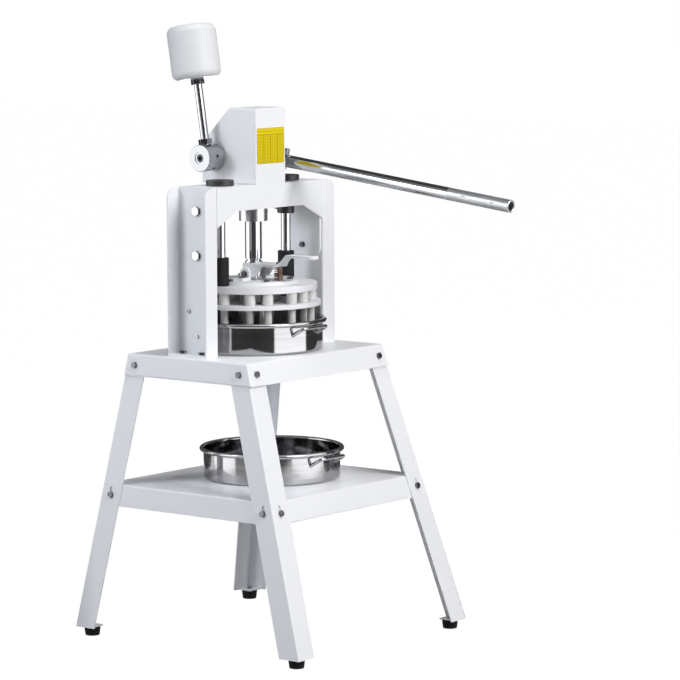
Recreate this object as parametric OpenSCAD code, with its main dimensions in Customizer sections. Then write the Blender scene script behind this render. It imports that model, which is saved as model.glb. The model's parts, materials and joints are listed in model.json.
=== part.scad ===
// Manual dough divider on a steel stand. A lever turns a pinion, the pinion drives a rack on the ram,
// and the ram lowers a head of knives and pressing pads into a round pan.
// Millimetres, +Z up. The operator stands on the -Y side. Heights start at the floor.

/* [Stand] */
// Height of the table top above the floor
table_h = 640; // [560:5:720]
// Width of the table top
table_w = 480; // [460:5:560]
// Depth of the table top
table_d = 344; // [320:4:420]
// Distance of the table's middle in front of the ram axis
table_forward = 6; // [0:1:20]
// Thickness of the table and shelf sheet
sheet = 3; // [2:0.5:4]
// Height of the sloping skirts of the table and the shelf
skirt_h = 49; // [42:1:60]
// How far the legs spread sideways between table top and floor
splay_side = 66; // [30:1:90]
// How far the front legs spread forwards
splay_front = 200; // [120:1:220]
// How far the back legs spread backwards
splay_back = 117; // [60:1:140]
// Width of each leg flange
leg_flange = 54; // [46:1:66]
// Thickness of the leg sheet
leg_sheet = 3; // [2:0.5:4]
// Height of the shelf's surface above the floor
shelf_h = 348; // [260:4:430]
// Height of the rubber feet
foot_h = 20; // [14:1:30]
// Diameter of the rubber feet at the top
foot_d = 37; // [30:1:42]
// Diameter of the rubber feet at the floor
foot_low_d = 32; // [26:1:38]

/* [Uprights and beam] */
// Depth of the uprights, front to back
upright_d = 112; // [96:2:130]
// Distance of the uprights' middle behind the ram axis
upright_back = 4; // [0:1:12]
// Width of the uprights' flanges
upright_flange = 41; // [34:1:48]
// Plate thickness of the uprights
upright_t = 4; // [3:0.5:6]
// Height of the uprights and of the beam's top above the table
press_h = 372; // [360:2:420]
// Rounding of the flanges' outer top corners
flange_round = 25; // [8:1:30]
// Height of the beam's front plate at its middle
beam_h = 54; // [44:1:70]
// How far the beam's corner gussets reach inwards
gusset_w = 69; // [40:1:80]
// How far the gussets reach below the beam
gusset_h = 34; // [20:1:50]
// Plate thickness of the beam's front and back
beam_t = 4; // [3:0.5:6]
// Plate thickness of the beam's top
beam_top_t = 6; // [4:0.5:10]
// Length of the end plates below the beam's top
end_plate_h = 174; // [160:1:200]
// Thickness of the end plates
end_plate_t = 5; // [4:0.5:8]
// Rounding of the end plates' lower corners
end_plate_round = 20; // [6:1:30]

/* [Gear housing] */
// Width of the gear housing
housing_w = 102; // [90:1:104]
// Height of the housing above the beam
housing_h = 169; // [164:1:200]
// Distance of the housing's back wall behind the ram axis
housing_back = 106; // [105:1:130]
// Height of the housing's back wall, where its top starts to slope
housing_back_h = 89; // [86:1:129]
// Wall thickness of the housing
housing_t = 4; // [3:0.5:5]

/* [Drive] */
// Distance of the pinion shaft behind the ram axis
shaft_back = 64; // [63:0.5:65]
// Height of the pinion shaft above the beam's top
shaft_up = 58; // [54:1:64]
// Diameter of the pinion shaft
shaft_d = 28; // [24:1:32]
// Module of the rack and pinion
gear_module = 3; // [3:0.05:3.1]
// Number of pinion teeth
pinion_teeth = 22; // [21:1:22]
// Width of the pinion and the rack
gear_w = 24; // [16:1:28]
// Diameter of the two hubs on the shaft
hub_d = 60; // [54:1:64]
// Length of each hub
hub_l = 53; // [48:1:60]
// Travel of the head above the lowered pose
travel_up = 72; // [60:1:76]

/* [Lever and counterweight] */
// Length of the lever from the shaft's axis to its end
lever_l = 720; // [500:5:900]
// Outer diameter of the lever tube
lever_d = 28; // [26:1:32]
// Bore of the lever tube
lever_bore = 20; // [16:1:22]
// Angle of the lever below the horizontal
lever_drop = 7; // [0:0.5:9]
// Diameter of the counterweight
weight_d = 110; // [80:1:120]
// Height of the counterweight
weight_h = 120; // [80:1:130]
// Rounding of the counterweight's edges
weight_round = 16; // [4:1:20]
// Distance of the counterweight's middle from the shaft's axis
weight_reach = 237; // [230:1:280]
// Diameter of the counterweight's rod
weight_rod_d = 18; // [14:1:20]
// Backward tilt of the counterweight's rod
weight_tilt = 9; // [0:0.5:15]

/* [Head] */
// Height of the knife carrier's underside above the table
carrier_h = 100; // [96:1:106]
// Gap between the knife carrier's edge and the pan's bore
carrier_gap = 3; // [2:0.5:5]
// Thickness of the knife carrier
carrier_t = 10; // [8:1:12]
// Gap between the knife carrier and the pusher plate
disc_gap = 25; // [22:1:30]
// How far the pusher plate's edge stands inside the knife carrier's
pusher_inset = 8; // [2:1:10]
// Thickness of the pusher plate
pusher_t = 15; // [12:1:18]
// Diameter of the ram
ram_d = 38; // [36:0.5:39]
// Diameter of the guide rods
rod_d = 22; // [18:1:24]
// Outer diameter of the rubber stop sleeves
sleeve_d = 37; // [32:1:38]
// Outer diameter of the guide rod bushes
rod_bush_d = 38; // [34:1:40]
// Diameter of the bushes' caps on top of the beam
bush_cap_d = 62; // [56:1:64]
// Height of the bushes' caps
bush_cap_h = 13; // [8:1:14]
// How far the guide rod bushes reach below the beam's top
rod_bush_drop = 74; // [70:1:78]
// Outer diameter of the ram bush
ram_bush_d = 64; // [56:1:68]
// How far the ram bush reaches below the beam's top
ram_bush_drop = 84; // [76:1:96]
// Thickness of the flange on the pusher plate
hub_flange_t = 7; // [5:0.5:9]

/* [Knives and pads] */
// Height of the knives' lower edge above the table
knife_low = 2.6; // [2.4:0.2:10]
// Thickness of the blades
blade_t = 2; // [1.5:0.1:3]
// Number of pieces cut around the ring
sectors = 8; // [6:1:8]
// How far the pads can rise above the knives' lower edge
pad_lift = 12; // [8:1:14]
// Thickness of the pressing pads
pad_t = 12; // [8:1:16]
// Diameter of the pad posts below the knife carrier
post_d = 18; // [14:1:18]
// Diameter of the pad posts above the knife carrier
post_top_d = 24; // [20:1:26]
// Distance of the outer posts from the knife carrier's edge
post_inset = 23; // [22:0.5:26]
// Angle between the two posts of one sector
post_spread = 27; // [24:1:28]

/* [Latch] */
// Height of the latch pivot above the hub flange
latch_pivot_h = 13; // [12:0.5:15]
// Height of the latch plate above its pivot
latch_plate_h = 18; // [17:0.5:20]
// Thickness of the latch plate
latch_t = 6; // [4:0.5:7]
// How far the latch handle reaches in front of the ram axis
latch_reach = 183; // [160:1:200]
// Width of the latch handle
latch_handle_w = 28; // [20:1:32]
// How far the handle is cranked up
latch_rise = 22; // [12:1:26]
// Distance of the spring in front of the ram axis
spring_reach = 72; // [68:1:76]
// Outer diameter of the latch spring
spring_d = 20; // [14:0.5:22]
// Wire of the latch spring
spring_wire = 2.2; // [1.5:0.1:2.6]
// Number of turns of the latch spring
spring_turns = 6; // [5:1:7]

/* [Pans] */
// Wall thickness of the pans
pan_wall = 1.2; // [1:0.1:2]
// Height of the pans with their rims
pan_h = 71; // [66:1:76]
// Thickness of the rolled rim
rim_d = 9; // [7:0.5:10]
// Rounding between a pan's wall and its bottom
pan_round = 6; // [4:0.5:12]
// Width of the bail handle between its legs
bail_w = 86; // [70:1:100]
// Thickness of the bail handle's rod
bail_d = 8; // [6:0.5:9]
// How far the bail stands out past the rim
bail_out = 18; // [14:1:26]
// Place of the shelf pan to the right of the ram axis
shelf_pan_x = 28; // [0:1:40]
// Place of the shelf pan in front of the ram axis
shelf_pan_forward = 26; // [10:1:50]

/* [Hidden] */

// Round surfaces are drawn with this many steps
$fn = 96;
// Overrun of every cut
over = 1;
// Radial clearances: bolts in holes, running fits, parts that pass each other
hole_gap = 0.2;
run_gap = 0.05;
pass_gap = 0.5;
// Gap between moving faces
face_gap = 0.3;

// Fasteners as [diameter, across flats, head height, nut height]
m5 = [5, 8, 3.5, 4];
m6 = [6, 10, 4, 5];
m8 = [8, 13, 5.3, 6.5];
m10 = [10, 16, 6.4, 8];
m12 = [12, 18, 7.5, 10];
rod_nut_share = 1.5;
rod_nut_h = 12;
rod_nut = [weight_rod_d, rod_nut_share * weight_rod_d, rod_nut_h, rod_nut_h];
// How far a bolt's end stands out of its nut or plate
bolt_end = 3;
// Ratio of a hexagon's corner circle to its width across flats
hex_share = 1 / cos(30);

// Colours of the finishes
white_paint = [0.94, 0.945, 0.96];
zinc = [0.72, 0.73, 0.75];
chrome_steel = [0.80, 0.81, 0.83];
plain_steel = [0.62, 0.63, 0.65];
stainless = [0.70, 0.70, 0.71];
black_rubber = [0.05, 0.05, 0.06];
nylon = [0.88, 0.87, 0.83];
bronze = [0.66, 0.47, 0.22];
spring_steel = [0.55, 0.40, 0.34];

// Slopes of the stand's four sides
slope_side = splay_side / table_h;
slope_front = splay_front / table_h;
slope_back = splay_back / table_h;
bolt_drop = skirt_h / 2;
keyhole_h = 14;
foot_inset = 26;
tab_t = 3;
tab_back = 1.5;
tab_out = foot_inset - leg_sheet / 2;
tab_in = foot_d / 2 - tab_back;

// Main levels
press_z = table_h + press_h;
beam_low_z = press_z - beam_h;
shaft_z = press_z + shaft_up;
carrier_z = table_h + carrier_h;
carrier_top_z = carrier_z + carrier_t;
pusher_z = carrier_top_z + disc_gap;
pusher_top_z = pusher_z + pusher_t;
flange_top_z = pusher_top_z + hub_flange_t;
knife_z = table_h + knife_low;
pad_top_z = knife_z + pad_t;

// The throat between the uprights follows the table's width, the pans follow the throat,
// and the head follows the pans
throat_share = 23 / 30;
throat_w = table_w * throat_share;
pan_share = 153 / 184;
pan_bore = throat_w * pan_share;
carrier_d = pan_bore - 2 * carrier_gap;
pusher_d = carrier_d - 2 * pusher_inset;
ring_share = 71 / 150;
ring_d = carrier_d * ring_share;
post_reach = carrier_d / 2 - post_inset;
rod_share = 57 / 142;
rod_reach = pusher_d * rod_share;
hub_flange_share = 50 / 71;
hub_flange_d = pusher_d * hub_flange_share;

// Uprights and beam
upright_in = throat_w / 2;
upright_out = upright_in + upright_flange;
upright_front_y = upright_back - upright_d / 2;
upright_back_y = upright_back + upright_d / 2;
bend_r = 5;
foot_plate_t = 6;
foot_bolt_share = 0.25;
beam_recess = 1;
beam_front_y = upright_front_y + beam_recess;
beam_back_y = upright_back_y - beam_recess;
end_plate_inset = 1;
beam_bolt_up = 2;
end_bolt_up = 24;
web_bolt_drops = [beam_h - beam_bolt_up, end_plate_h - end_bolt_up];

// Size of the sloping cut at the housing's top back edge
housing_slope = housing_h - housing_back_h;

// Pan guides on the uprights, each held by two screws
guide_t = 3;
guide_low = 24;
guide_h = 90;
guide_w = 70;
guide_lip_h = 60;
guide_gap = 2;
guide_screw_shares = [[0.51, 0.21], [0.84, 0.82]];

// Rack and pinion
pitch_r = gear_module * pinion_teeth / 2;
tip_r = pitch_r + gear_module;
root_share = 1.25;
root_r = pitch_r - root_share * gear_module;
pressure_angle = 20;
base_r = pitch_r * cos(pressure_angle);
gear_pitch = PI * gear_module;
backlash = 0.2;
flank_steps = 5;
rack_y = shaft_back - pitch_r;
rack_sink = 4;
rack_seat_y = ram_d / 2 - rack_sink;
rack_margin = 12;
rack_below = ceil((travel_up + rack_margin) / gear_pitch) + 0.5;
rack_above = ceil(rack_margin / gear_pitch) + 0.5;
rack_low_z = shaft_z - rack_below * gear_pitch;
rack_top_z = shaft_z + rack_above * gear_pitch;
slot_gap = 1;

// Shaft, hubs and keys
bush_wall = 3;
bush_flange_t = 3;
bush_flange_d = 44;
bush_l = 14;
hub_gap = 1;
hub_in_x = housing_w / 2 + bush_flange_t + hub_gap;
hub_out_x = hub_in_x + hub_l;
hub_mid_x = (hub_in_x + hub_out_x) / 2;
shaft_recess = 1.5;
key_w = 8;
key_h = 7;
key_sink = 4;
hub_key_l = 40;
key_gap = 0.05;
hub_screw_head_d = 18;
hub_screw_head_h = 10;
hub_screw_l = 20;
hub_socket_af = 8;
hub_socket_h = 5;
tommy_d = 8;
tommy_h = 9;
tommy_angles = [90, 150, 210, 270];
hub_edge = 1;
arm_clear = 0.6;
radial_seat = shaft_d / 2 + key_h - key_sink + arm_clear;

// Lever and counterweight
spigot_l = 130;
lever_bolt_reach = 90;
lever_bolt_head_d = 18;
lever_bolt_head_h = 13;
lever_bolt_taper = 2;
lever_start = hub_d / 2 + 1;
lever_chamfer = 1.2;
weight_bore_share = 0.5;

// Head
ram_groove_w = 5;
ram_groove_deep = 3;
ram_groove_up = 4;
ram_screw_l = 28;
ram_screw_head_d = 22;
ram_screw_head_h = 5;
rod_seat = 12;
rod_recess = 2;
stop_gap = 1;
sleeve_h = press_z - rod_bush_drop - travel_up - pad_lift - stop_gap - pusher_top_z;
flange_bolt_inset = 18;
flange_bolt_reach = hub_flange_d / 2 - flange_bolt_inset;
flange_bolt_count = 6;
flange_bolt_deep = 10;

// Knives and pads
blade_gap = 1.5;
ring_r = ring_d / 2;
// The blades end clear of the pan's rounded corner at the height of their lower edge
corner_r = pan_round - pan_wall;
corner_rise = max(0, corner_r - knife_low + pan_wall);
blade_end_r = pan_bore / 2 - corner_r + sqrt(pow(corner_r, 2) - pow(corner_rise, 2)) - blade_gap;
pad_r = blade_end_r - hole_gap;
weld_gap = 0.2;
boss_d = 14;
boss_h = 14;
boss_shift = 6;
boss_reach = (ring_r + blade_end_r) / 2 - boss_shift;
inner_post_share = 0.62;
inner_post_reach = ring_r * inner_post_share;
inner_post_angles = [45, 135, 225, 315];
step_gap = face_gap;

// Latch
latch_pivot_z = flange_top_z + latch_pivot_h;
latch_z = latch_pivot_z + latch_plate_h;
cheek_t = 5;
cheek_gap = 1.5;
cheek_in = ram_d / 2 + cheek_gap;
cheek_out = cheek_in + cheek_t;
cheek_r = 11;
cheek_front = 26;
cheek_foot = 4;
cheek_top = 46;
ear_in = cheek_out + face_gap;
ear_t = 6;
ear_out = ear_in + ear_t;
ear_r = 14;
bracket_t = 5;
bracket_foot_w = 24;
bracket_screw_gap = 1.5;
tooth_w = 10;
tooth_gap = 0.4;
latch_neck_share = 0.38;
latch_bolt_slot = 8;
latch_ramp = 21;
spring_r = (spring_d - spring_wire) / 2;
spring_low_z = flange_top_z;
spring_top_z = latch_z - face_gap;
spring_seat_deep = 10;

// Bail handle
bail_bend = 12;
bail_seat = 43;
bail_tilt = 29;

// The ram axis stands behind the middle of the whole machine, which is measured from the lever's end
// to the back legs, so that the origin lies under the machine's middle
front_most = shaft_back - lever_l * cos(lever_drop) - lever_d / 2 * sin(lever_drop);
back_most = reach("back", foot_h, sheet) - table_forward;
ram_shift = -(front_most + back_most) / 2;
echo(ram_shift = ram_shift, shaft = [shaft_back + ram_shift, shaft_z]);
echo(latch = latch_pivot_z, pitch_r = pitch_r);

// Places a piece that is drawn about the ram axis
module placed() translate([0, ram_shift, 0]) children();

// Both sides of the machine's middle plane
module both_sides() {
    children();
    mirror([1, 0, 0]) children();
}

// A flat shape in X and Z, given thickness towards +Y from a front plane
module slab_xz(front_y, thick) translate([0, front_y + thick, 0]) rotate([90, 0, 0])
    linear_extrude(thick) children();

// A flat shape in Y and Z, given thickness along X about a middle plane
module slab_yz(mid_x, thick) translate([mid_x - thick / 2, 0, 0]) rotate([90, 0, 90])
    linear_extrude(thick) children();

module rounded_square(size, r) {
    translate([r, 0]) square([size[0] - 2 * r, size[1]]);
    translate([0, r]) square([size[0], size[1] - 2 * r]);
    for (x = [r, size[0] - r], y = [r, size[1] - r]) translate([x, y]) circle(r);
}

// A hexagon bolt along Z: its head stands on z = 0 and its shank reaches down
module hex_bolt(size, length) {
    cylinder(d = size[1] * hex_share, h = size[2], $fn = 6);
    translate([0, 0, -length]) cylinder(d = size[0], h = length + size[2] / 2);
}

module hex_nut(size) difference() {
    cylinder(d = size[1] * hex_share, h = size[3], $fn = 6);
    translate([0, 0, -over]) cylinder(d = size[0] + 2 * hole_gap, h = size[3] + 2 * over);
}

// A screw hole along Z that runs down from z = 0
module screw_hole(size, length) translate([0, 0, -length])
    cylinder(d = size[0] + 2 * hole_gap, h = length + over);

// The stand's four sides slope outwards. A point on a side is [across, up the slope], and depths are
// measured inwards from the skirt's outer face
function slope_of(side) = side == "front" ? slope_front : side == "back" ? slope_back : slope_side;
function half_of(side) = side == "side" ? table_w / 2 : table_d / 2;
function stretch(side) = sqrt(1 + pow(slope_of(side), 2));
function reach(side, z, depth = 0) =
    half_of(side) + slope_of(side) * (table_h - z) - depth * stretch(side);
function up(side, z, depth = 0) = (z - table_h) * stretch(side) + depth * slope_of(side);

module on_side(side) translate([0, -table_forward, 0])
    rotate([0, 0, side == "front" ? 0 : side == "back" ? 180 : -90])
        translate([0, -half_of(side), table_h]) rotate([90 - atan(slope_of(side)), 0, 0]) children();

module side_plate(side, depth, thick, points) on_side(side) translate([0, 0, -depth - thick])
    linear_extrude(thick) polygon(points);

// The body between the stand's sloping planes and two levels
module frustum(low_z, top_z, depth) polyhedron(
    points = [for (z = [low_z, top_z]) let (
        x = reach("side", z, depth),
        front = -reach("front", z, depth) - table_forward,
        back = reach("back", z, depth) - table_forward
    ) each [[-x, front, z], [x, front, z], [x, back, z], [-x, back, z]]],
    faces = [[0, 1, 2, 3], [4, 5, 1, 0], [7, 6, 5, 4], [5, 6, 2, 1], [6, 7, 3, 2], [7, 4, 0, 3]]
);

// A sheet tray: a flat top with four sloping skirts
module tray(top_z, depth) difference() {
    frustum(top_z - skirt_h, top_z, depth);
    frustum(top_z - skirt_h - over, top_z - sheet, depth + sheet);
}

// Puts its children at the bolts of one leg, on the end face and on the side face
module at_leg_bolts(end, z, depth) {
    way = end == "front" ? -1 : 1;
    inset = leg_flange / 2;
    on_side(end) translate([way * (reach("side", z, depth) - inset), up(end, z, depth), -depth])
        children();
    on_side("side") translate([-way * (reach(end, z, depth) - inset), up("side", z, depth), -depth])
        children();
}

module at_all_leg_bolts(z, depth) both_sides() for (end = ["front", "back"])
    at_leg_bolts(end, z, depth) children();

table_bolt_z = table_h - bolt_drop;
shelf_bolt_z = shelf_h - bolt_drop;
leg_depth = sheet;
shelf_depth = sheet + leg_sheet;

module keyhole(length) {
    screw_hole(m8, length);
    translate([-m8[0] / 2 - hole_gap, 0, -length]) cube([m8[0] + 2 * hole_gap, keyhole_h, length + over]);
    translate([0, keyhole_h, 0]) screw_hole(m8, length);
}

// A leg is a sheet angle. Its flanges lie inside the table's skirts, and a tab at the bottom holds the foot
module left_leg(end) {
    way = end == "front" ? -1 : 1;
    top_z = table_h - sheet;
    ridge_top = reach("side", top_z, leg_depth);
    ridge_low = reach("side", foot_h, leg_depth);
    end_top = reach(end, top_z, leg_depth);
    end_low = reach(end, foot_h, leg_depth);
    difference() {
        union() {
            side_plate(end, leg_depth, leg_sheet, [
                [way * ridge_top, up(end, top_z, leg_depth)],
                [way * (ridge_top - leg_flange), up(end, top_z, leg_depth)],
                [way * (ridge_low - leg_flange), up(end, foot_h, leg_depth)],
                [way * ridge_low, up(end, foot_h, leg_depth)]
            ]);
            side_plate("side", leg_depth, leg_sheet, [
                [-way * end_top, up("side", top_z, leg_depth)],
                [-way * (end_top - leg_flange), up("side", top_z, leg_depth)],
                [-way * (end_low - leg_flange), up("side", foot_h, leg_depth)],
                [-way * end_low, up("side", foot_h, leg_depth)]
            ]);
            at_left_foot(end) translate([-tab_out, way < 0 ? -tab_out : -tab_in, 0])
                cube([tab_out + tab_in, tab_out + tab_in, tab_t]);
        }
        at_leg_bolts(end, table_bolt_z, 0) screw_hole(m8, sheet + leg_sheet + over);
        at_leg_bolts(end, shelf_bolt_z, leg_depth) keyhole(leg_sheet + over);
        at_left_foot(end) translate([0, 0, tab_t]) screw_hole(m6, tab_t + over);
    }
}

// The middle of a left foot, on the underside of its tab
module at_left_foot(end) {
    way = end == "front" ? -1 : 1;
    translate([
        foot_inset - reach("side", foot_h, leg_depth),
        way * (reach(end, foot_h, leg_depth) - foot_inset) - table_forward,
        foot_h
    ]) children();
}

module at_all_feet() both_sides() for (end = ["front", "back"]) at_left_foot(end) children();

module table_top() color(white_paint) placed() difference() {
    tray(table_h, 0);
    at_all_leg_bolts(table_bolt_z, 0) screw_hole(m8, sheet + over);
    at_foot_bolts() screw_hole(m10, foot_plate_t + sheet + over);
}

module leg_front_left() color(white_paint) placed() left_leg("front");

module leg_front_right() color(white_paint) placed() mirror([1, 0, 0]) left_leg("front");

module leg_back_left() color(white_paint) placed() left_leg("back");

module leg_back_right() color(white_paint) placed() mirror([1, 0, 0]) left_leg("back");

module lower_shelf() color(white_paint) placed() difference() {
    tray(shelf_h, shelf_depth);
    at_all_leg_bolts(shelf_bolt_z, leg_depth) screw_hole(m8, leg_sheet + sheet + over);
}

module rubber_feet() color(black_rubber) placed() at_all_feet() difference() {
    translate([0, 0, -foot_h]) cylinder(d1 = foot_low_d, d2 = foot_d, h = foot_h);
    screw_hole(m6, foot_h / 2);
}

module foot_screws() color(zinc) placed() at_all_feet() translate([0, 0, tab_t])
    hex_bolt(m6, tab_t + foot_h / 2 - over);

module table_bolts() color(zinc) placed()
    at_all_leg_bolts(table_bolt_z, 0) hex_bolt(m8, sheet + leg_sheet + m8[3] + bolt_end);

module shelf_bolts() color(zinc) placed()
    at_all_leg_bolts(shelf_bolt_z, leg_depth) hex_bolt(m8, leg_sheet + sheet + m8[3] + bolt_end);

// Nuts behind the skirts and under the uprights' feet
module stand_nuts() color(zinc) placed() {
    at_all_leg_bolts(table_bolt_z, 0) translate([0, 0, -sheet - leg_sheet - m8[3]]) hex_nut(m8);
    at_all_leg_bolts(shelf_bolt_z, leg_depth) translate([0, 0, -leg_sheet - sheet - m8[3]]) hex_nut(m8);
    at_foot_bolts() translate([0, 0, -foot_plate_t - sheet - m10[3]]) hex_nut(m10);
}

// Places on top of the uprights' foot plates
module at_foot_bolts() both_sides() for (way = [-1, 1]) translate([
    -(upright_in + upright_out + upright_t) / 2,
    upright_back + way * foot_bolt_share * upright_d,
    table_h + foot_plate_t
]) children();

// Places on the outer faces of the uprights' webs, with Z pointing outwards
module at_web_bolts(side_x) both_sides() for (drop = web_bolt_drops)
    translate([-side_x, upright_back, press_z - drop]) rotate([0, -90, 0]) children();

module at_guide_screws(side_x) both_sides() for (share = guide_screw_shares) translate([
    -side_x,
    upright_back - guide_w / 2 + share[0] * guide_w,
    table_h + guide_low + share[1] * guide_h
]) rotate([0, -90, 0]) children();

// A channel that opens to the outside of the machine, with a foot plate between its flanges
module left_upright() difference() {
    union() {
        translate([0, 0, table_h]) linear_extrude(press_h) difference() {
            intersection() {
                translate([-upright_out - bend_r, upright_front_y])
                    rounded_square([upright_flange + bend_r, upright_d], bend_r);
                translate([-upright_out, upright_front_y]) square([upright_flange, upright_d]);
            }
            translate([-upright_out - over, upright_front_y + upright_t])
                square([upright_flange - upright_t + over, upright_d - 2 * upright_t]);
        }
        translate([-upright_out, upright_front_y + upright_t / 2, table_h])
            cube([upright_flange - upright_t / 2, upright_d - upright_t, foot_plate_t]);
    }
    slab_xz(upright_front_y - over, upright_d + 2 * over) translate([-upright_out, press_z]) difference() {
        translate([-over, -flange_round]) square([flange_round + over, flange_round + over]);
        translate([flange_round, -flange_round]) circle(flange_round);
    }
    at_web_bolts(upright_in + upright_t) screw_hole(m12, upright_t + over);
    at_guide_screws(upright_in + upright_t) screw_hole(m5, upright_t + over);
    at_foot_bolts() screw_hole(m10, foot_plate_t + over);
}

module upright_left() color(white_paint) placed() left_upright();

module upright_right() color(white_paint) placed() mirror([1, 0, 0]) left_upright();

module upright_bolts() color(zinc) placed() at_foot_bolts()
    hex_bolt(m10, foot_plate_t + sheet + m10[3] + bolt_end);

module beam_outline() polygon([
    [-upright_in, press_z],
    [upright_in, press_z],
    [upright_in, beam_low_z - gusset_h],
    [upright_in - gusset_w, beam_low_z],
    [gusset_w - upright_in, beam_low_z],
    [-upright_in, beam_low_z - gusset_h]
]);

// The beam is a welded box that is open below. Its front plate runs up as the front of the gear housing,
// and its end plates hang down along the uprights
module crossbeam() color(white_paint) placed() difference() {
    union() {
        slab_xz(beam_front_y, beam_t) {
            beam_outline();
            translate([-housing_w / 2, beam_low_z]) square([housing_w, beam_h + housing_h]);
        }
        slab_xz(beam_back_y - beam_t, beam_t) beam_outline();
        translate([-upright_in, beam_front_y + beam_t / 2, press_z - beam_top_t])
            cube([throat_w, beam_back_y - beam_front_y - beam_t, beam_top_t]);
        both_sides() slab_yz(upright_in - end_plate_t / 2, end_plate_t) end_plate_outline();
    }
    both_sides() translate([rod_reach, 0, press_z]) screw_hole([rod_bush_d], beam_top_t + over);
    translate([0, 0, press_z]) screw_hole([ram_d + 2 * pass_gap], beam_top_t + over);
    rack_slot(press_z - beam_top_t - over, beam_top_t + 2 * over);
    at_web_bolts(upright_in) screw_hole(m12, end_plate_t + over);
}

module end_plate_outline() {
    front = beam_front_y + beam_t + end_plate_inset;
    depth = beam_back_y - beam_front_y - 2 * (beam_t + end_plate_inset);
    intersection() {
        translate([front, press_z - end_plate_h])
            rounded_square([depth, end_plate_h + end_plate_round], end_plate_round);
        translate([front, press_z - end_plate_h]) square([depth, end_plate_h - beam_top_t / 2]);
    }
    translate([beam_front_y + beam_t / 2, beam_low_z])
        square([beam_back_y - beam_front_y - beam_t, beam_h - beam_top_t / 2]);
}

// Room for the rack behind the ram
module rack_slot(low_z, height) translate([-gear_w / 2 - slot_gap, 0, low_z])
    cube([gear_w + 2 * slot_gap, rack_y + gear_module + slot_gap, height]);

module beam_bolts() color(zinc) placed()
    at_web_bolts(upright_in + upright_t) hex_bolt(m12, upright_t + end_plate_t + 2 * bolt_end);

// The gear housing is a folded cover. It stands on the beam behind the front plate, and hangs over the
// beam's back to make room for the pinion
module gear_housing() color(white_paint) placed() difference() {
    slab_yz(0, housing_w) polygon([
        [beam_front_y + beam_t, press_z],
        [beam_front_y + beam_t, press_z + housing_h],
        [housing_back - housing_slope, press_z + housing_h],
        [housing_back, press_z + housing_h - housing_slope],
        [housing_back, press_z]
    ]);
    slab_yz(0, housing_w - 2 * housing_t) polygon([
        [beam_front_y, press_z - over],
        [beam_front_y, press_z + housing_h - housing_t],
        [housing_back - housing_slope - housing_t * tan(22.5), press_z + housing_h - housing_t],
        [housing_back - housing_t, press_z + housing_h - housing_slope - housing_t * tan(22.5)],
        [housing_back - housing_t, press_z + housing_t],
        [beam_back_y, press_z + housing_t],
        [beam_back_y, press_z - over]
    ]);
    slab_yz(0, housing_w + 2 * over) translate([shaft_back, shaft_z]) circle(d = shaft_d + 2 * bush_wall);
}

// Bent guides that keep the pan's rim in the middle between the uprights
module pan_guides() color(white_paint) placed() both_sides() difference() {
    union() {
        translate([-upright_in, upright_back - guide_w / 2, table_h + guide_low])
            cube([guide_t, guide_w, guide_h]);
        translate([-upright_in, upright_back - guide_w / 2, table_h + guide_lip_h])
            cube([upright_in - pan_rim_r - guide_gap, guide_w, guide_t]);
    }
    at_guide_screws(upright_in) screw_hole(m5, guide_t + over);
}

module guide_screws() color(zinc) placed()
    at_guide_screws(upright_in + upright_t) hex_bolt(m5, upright_t + guide_t + bolt_end);

// A steel sleeve under the beam guides the ram. Its upper back is slotted for the rack
module ram_bush() color(chrome_steel) placed() difference() {
    translate([0, 0, press_z - ram_bush_drop]) cylinder(d = ram_bush_d, h = ram_bush_drop - beam_top_t);
    translate([0, 0, press_z - ram_bush_drop - over])
        cylinder(d = ram_d + 2 * run_gap, h = ram_bush_drop + over);
    rack_slot(rack_low_z - 2 * slot_gap, ram_bush_drop);
}

// Flanged plastic bushes for the guide rods
module rod_bushes() color(black_rubber) placed() both_sides() translate([rod_reach, 0, press_z])
    difference() {
        union() {
            cylinder(d = bush_cap_d, h = bush_cap_h);
            translate([0, 0, -rod_bush_drop]) cylinder(d = rod_bush_d, h = rod_bush_drop + bush_cap_h / 2);
        }
        translate([0, 0, -rod_bush_drop - over])
            cylinder(d = rod_d + 2 * run_gap, h = rod_bush_drop + bush_cap_h + 2 * over);
    }

// A frame on the shaft's axis, with its Z along +X
module on_shaft(x = 0) translate([x, shaft_back, shaft_z]) rotate([90, 0, 90]) children();

module shaft_bushes() color(bronze) placed() both_sides() on_shaft(housing_w / 2) difference() {
    union() {
        cylinder(d = bush_flange_d, h = bush_flange_t);
        translate([0, 0, -bush_l])
            cylinder(d = shaft_d + 2 * bush_wall - 2 * run_gap, h = bush_l + bush_flange_t / 2);
    }
    translate([0, 0, -bush_l - over])
        cylinder(d = shaft_d + 2 * run_gap, h = bush_l + bush_flange_t + 2 * over);
}

// A key or its keyway under the shaft, centred at x
module shaft_key(x, length, gap) on_shaft(x) translate([0, -shaft_d / 2 + key_sink - key_h / 2, 0])
    cube([key_w + 2 * gap, key_h + 2 * gap, length + 2 * gap], center = true);

module shaft_end() both_sides() on_shaft(hub_out_x - shaft_recess) children();

module pinion_shaft() color(plain_steel) placed() difference() {
    shaft_l = 2 * (hub_out_x - shaft_recess);
    on_shaft(-shaft_l / 2) cylinder(d = shaft_d, h = shaft_l);
    shaft_key(0, gear_w, key_gap);
    for (way = [-1, 1]) shaft_key(way * hub_mid_x, hub_key_l, key_gap);
    shaft_end() screw_hole([hub_screw_head_d], hub_screw_head_h + hole_gap);
    shaft_end() screw_hole(m10, hub_screw_head_h + hub_screw_l + over);
}

function involute_angle(r) = let (t = sqrt(pow(r / base_r, 2) - 1)) t * 180 / PI - atan(t);

// Half the angle that a pinion tooth takes up at a radius
function tooth_half(r) =
    (gear_pitch - backlash) / pitch_r * 45 / PI + involute_angle(pitch_r) - involute_angle(r);

function flank_r(k) = base_r + (tip_r - base_r) * k / flank_steps;

function polar(r, a) = [r * cos(a), r * sin(a)];

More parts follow.
